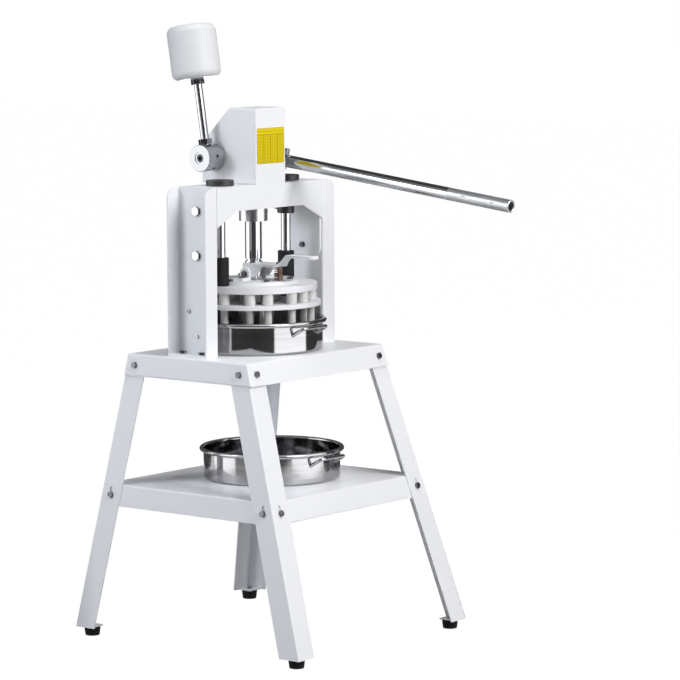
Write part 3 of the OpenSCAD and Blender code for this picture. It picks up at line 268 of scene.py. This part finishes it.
# Zinc plated bolts hold the uprights to the beam. Their heads have bright ends, and their flanks are
# painted near black, a painted shade for where each head meets the web.
head_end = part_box("beam_bolts")[1].x
unshaded_end_deep = 0.0012
# Painted shade: the near black tone laid on each head's flanks, back from its bright end.
painted_shade_tone = (0.05, 0.05, 0.055, 1)
shaded_head_zinc = new_finish("bolt_heads_painted_shade", {"Metallic": 1.0})
head_nodes = shaded_head_zinc.node_tree.nodes
head_links = shaded_head_zinc.node_tree.links
tint(shaded_head_zinc, grain(shaded_head_zinc, scale=180), dark=(0.54, 0.55, 0.57), light=(0.66, 0.67, 0.69))
sheen_range(shaded_head_zinc, grain(shaded_head_zinc, scale=420), smooth=0.14, rough=0.26)
from_middle = head_nodes.new("ShaderNodeSeparateXYZ")
head_links.new(placed_coords(shaded_head_zinc), from_middle.inputs["Vector"])
either_side = head_nodes.new("ShaderNodeMath")
either_side.operation = "ABSOLUTE"
head_links.new(from_middle.outputs["X"], either_side.inputs[0])
# Mask of the painted shade: 0 on the flanks, rising to 1 over the last millimetres at the head's end.
unshaded_end_mask = head_nodes.new("ShaderNodeMapRange")
unshaded_end_mask.inputs["From Min"].default_value = head_end - 2 * unshaded_end_deep
unshaded_end_mask.inputs["From Max"].default_value = head_end - unshaded_end_deep
head_links.new(either_side.outputs["Value"], unshaded_end_mask.inputs["Value"])
head_shade_mix = head_nodes.new("ShaderNodeMix")
head_shade_mix.data_type = "RGBA"
head_shade_mix.inputs["A"].default_value = painted_shade_tone
head_colour = head_nodes["Principled BSDF"].inputs["Base Color"]
head_links.new(unshaded_end_mask.outputs["Result"], head_shade_mix.inputs["Factor"])
head_links.new(head_colour.links[0].from_socket, head_shade_mix.inputs["B"])
head_links.new(head_shade_mix.outputs["Result"], head_colour)
softened("beam_bolts", shaded_head_zinc, edge=0.0009)

# The gear housing is a cover of folded sheet steel with a sloping top back edge. It is welded to the
# beam's front plate and powder coated with it.
softened("gear_housing", white_coat, edge=0.0007, fold=0.003)

# A printed foil plate on the housing's front, yellow with a plain ruled table on it. Its corners
# are rounded and it is glued flat.
label_w = 0.094
label_h = 0.079
label_t = 0.0005
label_round = 0.0025
label_round_steps = 5
label_z = 1.0975
plate_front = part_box("crossbeam")[0].y
bpy.ops.object.select_all(action="DESELECT")
bpy.ops.mesh.primitive_plane_add(size=1, location=(0, plate_front, label_z), rotation=(pi / 2, 0, 0))
label = bpy.context.object
label.name = "ruled_label"
label.scale = (label_w, label_h, 1)
bpy.ops.object.transform_apply(location=True, rotation=True, scale=True)
bpy.ops.object.mode_set(mode="EDIT")
bpy.ops.mesh.select_all(action="SELECT")
bpy.ops.mesh.extrude_region_move(TRANSFORM_OT_translate={"value": (0, -label_t, 0)})
bpy.ops.object.mode_set(mode="OBJECT")
select_edges(label, lambda e: abs((e.verts[0].co - e.verts[1].co).y) > label_t / 2)
bpy.ops.mesh.bevel(offset=label_round, segments=label_round_steps, affect="EDGES")
bpy.ops.mesh.select_all(action="SELECT")
bpy.ops.mesh.normals_make_consistent(inside=False)
bpy.ops.object.mode_set(mode="OBJECT")

label_print = new_finish("yellow_print", {"IOR": 1.5, "Roughness": 0.5, "Specular IOR Level": 0.15})
print_nodes = label_print.node_tree.nodes
print_links = label_print.node_tree.links
yellow = (0.76, 0.59, 0.002, 1)
ink = (0.20, 0.15, 0.005, 1)
pale_ink = (0.42, 0.32, 0.006, 1)
ink_blur = 0.3
sheet_corner = (-label_w / 2, plate_front, label_z - label_h / 2)
sheet_place = placed_coords(label_print, centre=sheet_corner, turn=(pi / 2, 0, 0))


def ruling(cell_w, cell_h, line, colour):
    """A ruled grid on the sheet, in ink on yellow."""
    ruled = print_nodes.new("ShaderNodeTexBrick")
    ruled.offset = 0
    for paper in ("Color1", "Color2"):
        ruled.inputs[paper].default_value = yellow
    ruled.inputs["Mortar"].default_value = colour
    ruled.inputs["Scale"].default_value = 1
    ruled.inputs["Brick Width"].default_value = cell_w
    ruled.inputs["Row Height"].default_value = cell_h
    ruled.inputs["Mortar Size"].default_value = line
    ruled.inputs["Mortar Smooth"].default_value = ink_blur
    print_links.new(sheet_place, ruled.inputs["Vector"])
    return ruled.outputs["Color"]


def blended(blend, share, first, second):
    """Two colours of the sheet laid over each other."""
    layer = print_nodes.new("ShaderNodeMix")
    layer.data_type = "RGBA"
    layer.blend_type = blend
    layer.inputs["Factor"].default_value = 1
    if share:
        print_links.new(share, layer.inputs["Factor"])
    print_links.new(first, layer.inputs["A"])
    print_links.new(second, layer.inputs["B"])
    return layer.outputs["Result"]


header_share = 0.82
column_count = 4
column_line = 0.0009
entry_columns = 16
entry_rows = 24
entry_line = 0.0005
heading_rows = 2
heading_line = 0.0006
across = print_nodes.new("ShaderNodeSeparateXYZ")
print_links.new(sheet_place, across.inputs["Vector"])
in_header = print_nodes.new("ShaderNodeMath")
in_header.operation = "GREATER_THAN"
in_header.inputs[1].default_value = label_h * header_share
print_links.new(across.outputs["Y"], in_header.inputs[0])
columns = ruling(label_w / column_count, label_h * header_share, column_line, ink)
entries = ruling(label_w / entry_columns, label_h / entry_rows, entry_line, pale_ink)
heading = ruling(label_w, label_h * (1 - header_share) / heading_rows, heading_line, pale_ink)
body = blended("DARKEN", None, columns, entries)
sheet = blended("MIX", in_header.outputs["Value"], body, heading)
print_links.new(sheet, print_nodes["Principled BSDF"].inputs["Base Color"])
relief(label_print, grain(label_print, scale=400), depth=0.0002, strength=0.06)
label.data.materials.append(label_print)
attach(label, "stand")

# Bent guides of coated sheet steel on the uprights keep the pan in the middle. Two pan head screws,
# zinc plated, hold each one.
softened("pan_guides", white_coat, edge=0.0005)
softened("guide_screws", zinc, edge=0.0004)

# The ram runs in a turned steel bush under the beam. The guide rods run in flanged bushes of
# black nylon, whose caps show on top of the beam.
axis_y = sum(corner.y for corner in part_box("knife_carrier")) / 2


def turning(made, scale, centre, along):
    """Turning marks: grain that runs round an axis through centre, as a value from 0 to 1."""
    nodes = made.node_tree.nodes
    links = made.node_tree.links
    place = placed_coords(made, centre=centre)
    across = nodes.new("ShaderNodeVectorMath")
    across.operation = "MULTIPLY"
    across.inputs[1].default_value = [1 - abs(part) for part in along]
    reach = nodes.new("ShaderNodeVectorMath")
    reach.operation = "LENGTH"
    depth = nodes.new("ShaderNodeVectorMath")
    depth.operation = "DOT_PRODUCT"
    depth.inputs[1].default_value = along
    pair = nodes.new("ShaderNodeCombineXYZ")
    noise = nodes.new("ShaderNodeTexNoise")
    noise.noise_dimensions = "2D"
    noise.inputs["Scale"].default_value = scale
    noise.inputs["Detail"].default_value = 2
    links.new(place, across.inputs[0])
    links.new(across.outputs["Vector"], reach.inputs[0])
    links.new(place, depth.inputs[0])
    links.new(reach.outputs["Value"], pair.inputs["X"])
    links.new(depth.outputs["Value"], pair.inputs["Y"])
    links.new(pair.outputs["Vector"], noise.inputs["Vector"])
    return noise.outputs["Fac"]


upright_axis = (0, 0, 1)
bush_steel = new_finish("turned_bush_steel", {"Metallic": 1.0})
bush_marks = turning(bush_steel, scale=1400, centre=(0, axis_y, 0), along=upright_axis)
tint(bush_steel, bush_marks, dark=(0.52, 0.53, 0.55), light=(0.66, 0.67, 0.69))
sheen_range(bush_steel, bush_marks, smooth=0.20, rough=0.32)
relief(bush_steel, bush_marks, depth=0.0001, strength=0.15)
softened("ram_bush", bush_steel, edge=0.0008)

black_nylon = new_finish("black_nylon", {"IOR": 1.52, "Specular IOR Level": 0.5})
tint(black_nylon, grain(black_nylon, scale=90), dark=(0.013, 0.013, 0.015), light=(0.026, 0.026, 0.029))
sheen_range(black_nylon, grain(black_nylon, scale=240), smooth=0.32, rough=0.45)
relief(black_nylon, turning(black_nylon, scale=1200, centre=(0, axis_y, 0), along=upright_axis),
       depth=0.0001, strength=0.15)
softened("rod_bushes", black_nylon, edge=0.0012)

# The pinion shaft turns in flanged bronze bushes in the housing's walls. Shaft, keys and the
# milled pinion are plain steel.
shaft_low, shaft_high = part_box("pinion_shaft")
shaft_point = (shaft_low + shaft_high) / 2
cross_axis = (1, 0, 0)
bronze = new_finish("bearing_bronze", {"Metallic": 1.0})
bronze_marks = turning(bronze, scale=1300, centre=shaft_point, along=cross_axis)
tint(bronze, bronze_marks, dark=(0.50, 0.32, 0.13), light=(0.66, 0.45, 0.20))
sheen_range(bronze, bronze_marks, smooth=0.22, rough=0.36)
softened("shaft_bushes", bronze, edge=0.0004)

turned_steel = new_finish("turned_steel", {"Metallic": 1.0})
turned_marks = turning(turned_steel, scale=1500, centre=shaft_point, along=cross_axis)
tint(turned_steel, turned_marks, dark=(0.36, 0.37, 0.39), light=(0.50, 0.51, 0.53))
sheen_range(turned_steel, turned_marks, smooth=0.17, rough=0.28)
relief(turned_steel, turned_marks, depth=0.0001, strength=0.2)
softened("pinion_shaft", turned_steel, edge=0.0010)
for inside in ("pinion_gear", "shaft_keys"):
    softened(inside, turned_steel, edge=0.0002)

# A turned hub is keyed on each end of the shaft, bored for its arm and for a tommy bar. A socket
# screw of black oxide steel holds it.
for hub in ("counterweight_hub", "lever_hub"):
    softened(hub, turned_steel, edge=0.0008)
black_oxide = new_finish("black_oxide", {"Metallic": 0.9})
tint(black_oxide, grain(black_oxide, scale=260),
     dark=(0.030, 0.030, 0.033), light=(0.075, 0.075, 0.080))
sheen_range(black_oxide, grain(black_oxide, scale=500), smooth=0.28, rough=0.42)
softened("hub_screws", black_oxide, edge=0.0004)

# The counterweight is a turned steel slug with large rounded edges, painted white. It sits on a
# chromed rod with a jam nut at each end.
chrome = new_finish("hard_chrome", {"Metallic": 1.0})
tint(chrome, grain(chrome, scale=30), dark=(0.52, 0.53, 0.55), light=(0.60, 0.61, 0.62))
sheen_range(chrome, grain(chrome, scale=260, stretch=(1, 1, 30)), smooth=0.06, rough=0.13)
softened("counterweight_rod", chrome, edge=0.0005)
softened("rod_nuts", zinc, edge=0.0009)
weight_paint = new_finish("weight_paint", {"IOR": 1.5, "Specular IOR Level": 0.35})
tint(weight_paint, grain(weight_paint, scale=7), dark=(0.70, 0.705, 0.72), light=(0.73, 0.735, 0.75))
sheen_range(weight_paint, grain(weight_paint, scale=45), smooth=0.42, rough=0.55)
relief(weight_paint, grain(weight_paint, scale=380, detail=2), depth=0.0004, strength=0.08)
softened("counterweight", weight_paint, edge=0.0004)

# The lever is a chromed tube, open at its end, with a knurled grip. It slides on a steel spigot
# in its hub, and a bolt through both locks it.
lever_drop = radians(7)
lever_r = 0.014
lever_bore_r = 0.010
lever_start = 0.031
lever_end = 0.720
lever_chamfer = 0.0012
grip_start = 0.555
grip_end = 0.712
grip_pitch = 0.0024
grip_deep = 0.0005
grip_row = 0.0012
grip_land = 0.35
lever_sides = 144
lever_hub_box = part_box("lever_hub")
lever_x = (lever_hub_box[0].x + lever_hub_box[1].x) / 2
lever_frame = Matrix.Translation((lever_x, shaft_point.y, shaft_point.z)) @ Matrix.Rotation(
    pi / 2 + lever_drop, 4, "X")


def spun(name, profile, steps, frame_matrix):
    """A turned or spun piece: a profile of (radius, height) points that goes once round Z."""
    bpy.ops.object.select_all(action="DESELECT")
    bpy.ops.mesh.primitive_plane_add(size=1)
    piece = bpy.context.object
    piece.name = name
    bpy.ops.object.mode_set(mode="EDIT")
    bpy.ops.mesh.select_mode(type="VERT")
    bpy.ops.mesh.select_all(action="SELECT")
    bpy.ops.mesh.merge(type="CENTER")
    bpy.ops.transform.translate(value=(profile[0][0], 0, profile[0][1]))
    for (r, z), (next_r, next_z) in zip(profile, profile[1:]):
        bpy.ops.mesh.extrude_vertices_move(
            TRANSFORM_OT_translate={"value": (next_r - r, 0, next_z - z)})
    bpy.ops.mesh.select_all(action="SELECT")
    bpy.ops.mesh.spin(steps=steps, angle=2 * pi, center=(0, 0, 0), axis=(0, 0, 1))
    bpy.ops.mesh.select_all(action="SELECT")
    bpy.ops.mesh.remove_doubles(threshold=merge_reach)
    bpy.ops.mesh.normals_make_consistent(inside=False)
    bpy.ops.object.mode_set(mode="OBJECT")
    piece.data.transform(frame_matrix)
    return piece


grip_rows = int((grip_end - grip_start) / grip_row)
tube_profile = [
    (lever_bore_r, lever_start),
    (lever_r, lever_start),
    (lever_r, grip_start - grip_row),
]
tube_profile += [(lever_r, grip_start + (grip_end - grip_start) * i / grip_rows)
                 for i in range(grip_rows + 1)]
tube_profile += [
    (lever_r, lever_end - lever_chamfer),
    (lever_r - lever_chamfer, lever_end),
    (lever_bore_r + lever_chamfer, lever_end),
    (lever_bore_r, lever_end - lever_chamfer),
    (lever_bore_r, lever_start),
]
lever = spun("lever_tube_made", tube_profile, lever_sides, Matrix.Identity(4))
for vertex in lever.data.vertices:
    x, y, z = vertex.co
    if grip_start < z < grip_end and x * x + y * y > (lever_bore_r + lever_r) ** 2 / 4:
        round_way = atan2(y, x) * lever_r
        turns = round(2 * pi * lever_r / grip_pitch) / (2 * pi * lever_r)
        rise = max(abs((round_way + way * z) * turns % 1 - 0.5) for way in (-1, 1))
        sink = 1 - grip_deep / lever_r * max(0, 2 * rise - grip_land)
        vertex.co = (x * sink, y * sink, z)
lever.data.transform(lever_frame)
lever_finish = new_finish("chromed_tube", {"Metallic": 1.0})
lever_place = {"centre": lever_frame.translation, "turn": (pi / 2 + lever_drop, 0, 0)}
tint(lever_finish, grain(lever_finish, scale=25, **lever_place),
     dark=(0.44, 0.45, 0.46), light=(0.52, 0.53, 0.54))
sheen_range(lever_finish, grain(lever_finish, scale=300, stretch=(1, 1, 40), **lever_place),
            smooth=0.08, rough=0.18)
grip_dull = 0.26
tube_nodes = lever_finish.node_tree.nodes
tube_links = lever_finish.node_tree.links
along_tube = tube_nodes.new("ShaderNodeSeparateXYZ")
tube_links.new(placed_coords(lever_finish, **lever_place), along_tube.inputs["Vector"])
on_grip = tube_nodes.new("ShaderNodeMath")
on_grip.operation = "GREATER_THAN"
on_grip.inputs[1].default_value = grip_start
tube_links.new(along_tube.outputs["Z"], on_grip.inputs[0])
dulled = tube_nodes.new("ShaderNodeMath")
dulled.operation = "MULTIPLY_ADD"
dulled.inputs[1].default_value = grip_dull
tube_links.new(on_grip.outputs["Value"], dulled.inputs[0])
tube_rough = tube_nodes["Principled BSDF"].inputs["Roughness"]
tube_links.new(tube_rough.links[0].from_socket, dulled.inputs[2])
tube_links.new(dulled.outputs["Value"], tube_rough)
smoothed(lever, angle=30)
stands_for(lever, "lever_tube", lever_finish)
softened("lever_spigot", turned_steel, edge=0.0005)
softened("lever_bolt", zinc, edge=0.0010)

# The ram is a ground and chromed bar. The rack is milled in a flat bar that is let into its back,
# and a screw from below holds the knife carrier.
softened("ram", chrome, edge=0.0004)
rack_steel = new_finish("milled_rack_steel", {"Metallic": 1.0})
tint(rack_steel, grain(rack_steel, scale=700, stretch=(8, 1, 1)),
     dark=(0.40, 0.41, 0.43), light=(0.58, 0.59, 0.61))
sheen_range(rack_steel, grain(rack_steel, scale=700, stretch=(8, 1, 1)), smooth=0.25, rough=0.4)
softened("rack_bar", rack_steel, edge=0.0002)
softened("ram_screw", zinc, edge=0.0006)

# The knife carrier is a white coated steel disc, bored for the posts. The welded ring, the radial
# blades and the centre blade below it are stainless strip, bolted on through bosses.
softened("knife_carrier", white_coat, edge=0.0008)
softened("carrier_bolts", zinc, edge=0.0005)
blade_steel = new_finish("blade_steel", {"Metallic": 1.0})
tint(blade_steel, grain(blade_steel, scale=40, stretch=(1, 1, 6)),
     dark=(0.30, 0.30, 0.31), light=(0.42, 0.42, 0.43))
sheen_range(blade_steel, grain(blade_steel, scale=900, stretch=(1, 1, 20)), smooth=0.22, rough=0.36)
for blade in ("ring_blade", "radial_blades", "centre_blade"):
    softened(blade, blade_steel, edge=0.0003)

# The pusher plate and its hub flange are white coated steel discs that slide on the ram. Zinc
# plated bolts hold the two together.
softened("pusher_plate", white_coat, edge=0.0010)
softened("hub_flange", white_coat, edge=0.0006)
softened("flange_bolts", zinc, edge=0.0007)

# Two chromed guide rods stand on the pusher plate and run through the beam. Black rubber sleeves
# on them stop the head.
softened("guide_rods", chrome, edge=0.0006)
softened("stop_sleeves", rubber, edge=0.0015)

# The pads that press the dough and their stepped posts are of white nylon. The posts are turned,
# the pads are milled, and the posts run through the knife carrier.
white_nylon = new_finish("white_nylon", {"IOR": 1.53, "Specular IOR Level": 0.45})
tint(white_nylon, grain(white_nylon, scale=60), dark=(0.69, 0.69, 0.665), light=(0.76, 0.76, 0.735))
sheen_range(white_nylon, grain(white_nylon, scale=300), smooth=0.34, rough=0.48)
relief(white_nylon, grain(white_nylon, scale=1200, stretch=(6, 6, 1)), depth=0.0001, strength=0.12)
for nylon_piece in ("pusher_posts", "outer_pads", "inner_pads"):
    softened(nylon_piece, white_nylon, edge=0.0006)

# The latch is a cranked and coated steel lever between two screwed ears. Its tooth catches the
# ram's groove, and a bolt keeps its spring in place.
softened("latch_bracket", white_coat, edge=0.0008)
softened("latch_lever", white_coat, edge=0.0012)
softened("latch_pins", black_oxide, edge=0.0006)
for latch_fastener in ("bracket_screws", "spring_bolt"):
    softened(latch_fastener, zinc, edge=0.0005)

# The latch spring is wound from 2.2 mm wire, with closed turns at both ends. It is held between the
# flange and the latch plate.
spring_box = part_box("latch_spring")
spring_axis = (spring_box[0] + spring_box[1]) / 2
wire_r = 0.0011
coil_r = (spring_box[1].x - spring_box[0].x) / 2 - wire_r
wire_sides = 10
open_turns = 6
turn_steps = 24
coil_low = spring_box[0].z + wire_r
coil_high = spring_box[1].z - wire_r
closed_share = 2.1
closed_rise = closed_share * wire_r
open_rise = (coil_high - coil_low - 2 * closed_rise) / open_turns
bpy.ops.object.select_all(action="DESELECT")
bpy.ops.mesh.primitive_circle_add(
    vertices=wire_sides, radius=wire_r, fill_type="NGON", rotation=(pi / 2, 0, 0),
    location=(spring_axis.x + coil_r, spring_axis.y, coil_low))
spring = bpy.context.object
spring.name = "latch_spring_made"
bpy.ops.object.transform_apply(location=True, rotation=True, scale=True)
bpy.ops.object.mode_set(mode="EDIT")
bpy.ops.mesh.select_all(action="SELECT")
for turn_rise in [closed_rise] + [open_rise] * open_turns + [closed_rise]:
    for step in range(turn_steps):
        bpy.ops.mesh.extrude_region_move(
            TRANSFORM_OT_translate={"value": (0, 0, turn_rise / turn_steps)})
        bpy.ops.transform.rotate(
            value=-2 * pi / turn_steps, orient_axis="Z",
            center_override=(spring_axis.x, spring_axis.y, coil_low))
bpy.ops.mesh.select_all(action="SELECT")
bpy.ops.mesh.normals_make_consistent(inside=False)
bpy.ops.object.mode_set(mode="OBJECT")
spring_wire = new_finish("spring_wire", {"Metallic": 1.0})
tint(spring_wire, grain(spring_wire, scale=300), dark=(0.24, 0.14, 0.11), light=(0.42, 0.28, 0.23))
sheen_range(spring_wire, grain(spring_wire, scale=800), smooth=0.25, rough=0.4)
smoothed(spring, angle=50)
stands_for(spring, "latch_spring", spring_wire)
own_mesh(spring)

# Two round pans of thin stainless sheet, spun over a former and polished. The rim is rolled
# outwards over a wire, and a bent rod is welded on as a handle.
pan_r = 0.1542
pan_wall = 0.0012
pan_h = 0.071
corner_r = 0.006
rim_r = 0.0051
rim_out = 0.0039
rim_down = 0.0045
rim_centre = (pan_r + rim_out, pan_h - rim_down)
corner_steps = 6
rim_steps = 20
pan_sides = 128
rim_meets_wall = radians(-139.9)
pan_profile = [(0, 0)]
for i in range(corner_steps + 1):
    a = -pi / 2 + pi / 2 * i / corner_steps
    pan_profile.append((pan_r - corner_r + corner_r * cos(a), corner_r + corner_r * sin(a)))
for i in range(rim_steps + 1):
    a = rim_meets_wall + (pi - rim_meets_wall) * i / rim_steps
    pan_profile.append((rim_centre[0] + rim_r * cos(a), rim_centre[1] + rim_r * sin(a)))
inner_r = corner_r - pan_wall
for i in range(corner_steps + 1):
    a = -pi / 2 * i / corner_steps
    pan_profile.append((pan_r - corner_r + inner_r * cos(a), corner_r + inner_r * sin(a)))
pan_profile.append((0, pan_wall))

stainless = new_finish("polished_stainless", {"Metallic": 1.0})
pan_streaks = grain(stainless, scale=130, stretch=(24, 24, 1))
tint(stainless, pan_streaks, dark=(0.39, 0.39, 0.40), light=(0.47, 0.47, 0.48))
sheen_range(stainless, pan_streaks, smooth=0.05, rough=0.10)
relief(stainless, grain(stainless, scale=16, detail=1), depth=0.002, strength=0.03)
for pan in ("press_pan", "shelf_pan"):
    pan_low, pan_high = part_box(pan)
    pan_centre = ((pan_low.x + pan_high.x) / 2, (pan_low.y + pan_high.y) / 2, pan_low.z)
    dish = spun(pan + "_made", pan_profile, pan_sides, Matrix.Translation(pan_centre))
    smoothed(dish, angle=35)
    stands_for(dish, pan, stainless)
    softened(pan + "_handle", stainless, edge=0.0004)

# A plain pale floor under soft studio light. The camera sees the room as white, and the floor
# keeps the machine's shadow.
scene = bpy.context.scene
scene.view_settings.view_transform = "Standard"


def seen_directly(tree):
    """1 where the camera, a mirror or glass sees the surface, and 0 where it lights something."""
    path = tree.nodes.new("ShaderNodeLightPath")
    total = path.outputs["Is Camera Ray"]
    for ray in ("Is Glossy Ray", "Is Transmission Ray"):
        either = tree.nodes.new("ShaderNodeMath")
        either.operation = "MAXIMUM"
        tree.links.new(total, either.inputs[0])
        tree.links.new(path.outputs[ray], either.inputs[1])
        total = either.outputs["Value"]
    return total


world = bpy.data.worlds.new("studio")
scene.world = world
world.use_nodes = True
sky = world.node_tree
room_light = 0.15
level = sky.nodes.new("ShaderNodeMapRange")
level.inputs["To Min"].default_value = room_light
level.inputs["To Max"].default_value = 1.0
sky.links.new(seen_directly(sky), level.inputs["Value"])
sky.nodes["Background"].inputs["Color"].default_value = (1, 1, 1, 1)
sky.links.new(level.outputs["Result"], sky.nodes["Background"].inputs["Strength"])

floor_size = 40
floor_white = 0.94
floor_glow = 1.055
floor_tone = 0.5
bpy.ops.object.select_all(action="DESELECT")
bpy.ops.mesh.primitive_plane_add(size=floor_size, location=(0, 0, 0))
ground = bpy.context.object
ground.name = "studio_floor"
ground_finish = bpy.data.materials.new("pale_floor")
ground_finish.use_nodes = True
tree = ground_finish.node_tree
tree.nodes.remove(tree.nodes["Principled BSDF"])
paint = tree.nodes.new("ShaderNodeBsdfDiffuse")
paint.inputs["Color"].default_value = (floor_tone, floor_tone, floor_tone, 1)
glow = tree.nodes.new("ShaderNodeEmission")
glow.inputs["Strength"].default_value = floor_glow
share = tree.nodes.new("ShaderNodeMath")
share.operation = "MULTIPLY"
share.inputs[1].default_value = floor_white
blend = tree.nodes.new("ShaderNodeMixShader")
tree.links.new(seen_directly(tree), share.inputs[0])
tree.links.new(share.outputs["Value"], blend.inputs["Fac"])
tree.links.new(paint.outputs["BSDF"], blend.inputs[1])
tree.links.new(glow.outputs["Emission"], blend.inputs[2])
tree.links.new(blend.outputs["Shader"], tree.nodes["Material Output"].inputs["Surface"])
ground.data.materials.append(ground_finish)

# Soft boxes: a large one high in front, a smaller and cooler one at the back left, which throws the
# hub's shadow on the housing, a small low one at the back right and a weak one above. Their turns
# are counted from the front.
aim_height = 0.75
aim = Vector((0, axis_y, aim_height))
camera_turn = radians(-51.5)
neutral = (1, 1, 1)
cool = (0.89, 0.94, 1)


def from_front(turn, reach, height):
    """A place at a turn round the machine, counted from straight in front of it to its right."""
    return Vector((sin(turn) * reach, axis_y - cos(turn) * reach, height))


for lamp_name, place, size, watts, tone in (
        ("front_box", from_front(radians(-4), 2.7, 2.3), 1.6, 74, neutral),
        ("left_box", from_front(radians(-112), 2.5, 1.9), 0.9, 30, cool),
        ("back_box", from_front(radians(128), 2.6, 0.26), 0.44, 22, neutral),
        ("top_box", from_front(radians(-20), 0.3, 4.0), 2.0, 37, neutral)):
    lamp = bpy.data.lights.new(lamp_name, "AREA")
    lamp.size = size
    lamp.energy = watts
    lamp.color = tone
    lamp_object = bpy.data.objects.new(lamp_name, lamp)
    scene.collection.objects.link(lamp_object)
    lamp_object.location = place
    lamp_object.rotation_euler = (aim - place).to_track_quat("-Z", "Y").to_euler()

# Dark and bright screens that only mirrored rays see. Most stand in a ring round the machine, at a
# turn from the camera with half their width, in degrees. Two hang above and one lies on the floor.
screen_reach = 2.4
screen_h = 2.4
dark = 0.035
bright = 2.0
left_grey = 0.30
roof_grey = 0.25
floor_grey = 0.16
roof_h = 3.5
roof_deep = 5.0
roof_back = 1.9
floor_screen_back = 0.6
floor_screen_up = 0.003
screens = [
    ("camera_screen", -1, 35, dark),
    ("left_screen", -49, 11, left_grey),
    ("left_panel", -86, 24, bright),
    ("right_panel", 65, 30, bright),
    ("right_back_screen", 120, 24, dark),
    ("back_screen", 168, 24, dark),
    ("left_back_screen", 216, 24, dark),
]
level_screens = [
    ("roof_screen", (2.2, axis_y + roof_back, roof_h), 5.6, roof_deep, dark),
    ("left_roof_screen", (-1.7, axis_y + roof_back, roof_h), 2.2, roof_deep, roof_grey),
    ("floor_screen", (0.9, axis_y + floor_screen_back, floor_screen_up), 3.4, 2.4, floor_grey),
]


def add_screen(name, place, facing, wide, high, tone):
    """A flat panel of an even tone, hidden from the camera and from soft light."""
    finish = bpy.data.materials.new(name)
    finish.use_nodes = True
    shader = finish.node_tree.nodes["Principled BSDF"]
    shader.inputs["Base Color"].default_value = (0, 0, 0, 1)
    shader.inputs["Emission Color"].default_value = (tone, tone, tone, 1)
    shader.inputs["Emission Strength"].default_value = 1
    bpy.ops.object.select_all(action="DESELECT")
    bpy.ops.mesh.primitive_plane_add(size=1, location=place, rotation=facing)
    screen = bpy.context.object
    screen.name = name
    screen.scale = (wide, high, 1)
    screen.data.materials.append(finish)
    screen.visible_camera = False
    screen.visible_diffuse = False
    screen.visible_shadow = False


for screen_name, turn, half_wide, tone in screens:
    round_turn = camera_turn + radians(turn)
    add_screen(
        screen_name, from_front(round_turn, screen_reach, screen_h / 2), (pi / 2, 0, round_turn),
        2 * screen_reach * tan(radians(half_wide)), screen_h, tone)
for screen_name, place, wide, deep, tone in level_screens:
    add_screen(screen_name, place, (0, 0, 0), wide, deep, tone)

# The camera stands far off at the machine's front left, a little higher than the machine, and looks
# down on it through a long lens.
tilt_angle = radians(6.51)
roll_angle = radians(-0.24)
camera_reach = 7.666
look_side = 0.1926
look_height = 0.658
focal_length = 180.7
view_depth = 60
back = Vector((
    sin(camera_turn) * cos(tilt_angle),
    -cos(camera_turn) * cos(tilt_angle),
    sin(tilt_angle)))
side = Vector((cos(camera_turn), sin(camera_turn), 0))
top = side.cross(-back)
camera_place = Vector((0, axis_y, look_height)) + side * look_side + back * camera_reach
side, top = (
    side * cos(roll_angle) + top * sin(roll_angle),
    top * cos(roll_angle) - side * sin(roll_angle))
lens = bpy.data.cameras.new("camera")
lens.lens = focal_length
lens.clip_end = view_depth
camera = bpy.data.objects.new("camera", lens)
scene.collection.objects.link(camera)
camera.matrix_world = Matrix((
    (side.x, top.x, back.x, camera_place.x),
    (side.y, top.y, back.y, camera_place.y),
    (side.z, top.z, back.z, camera_place.z),
    (0, 0, 0, 1)))
scene.camera = camera
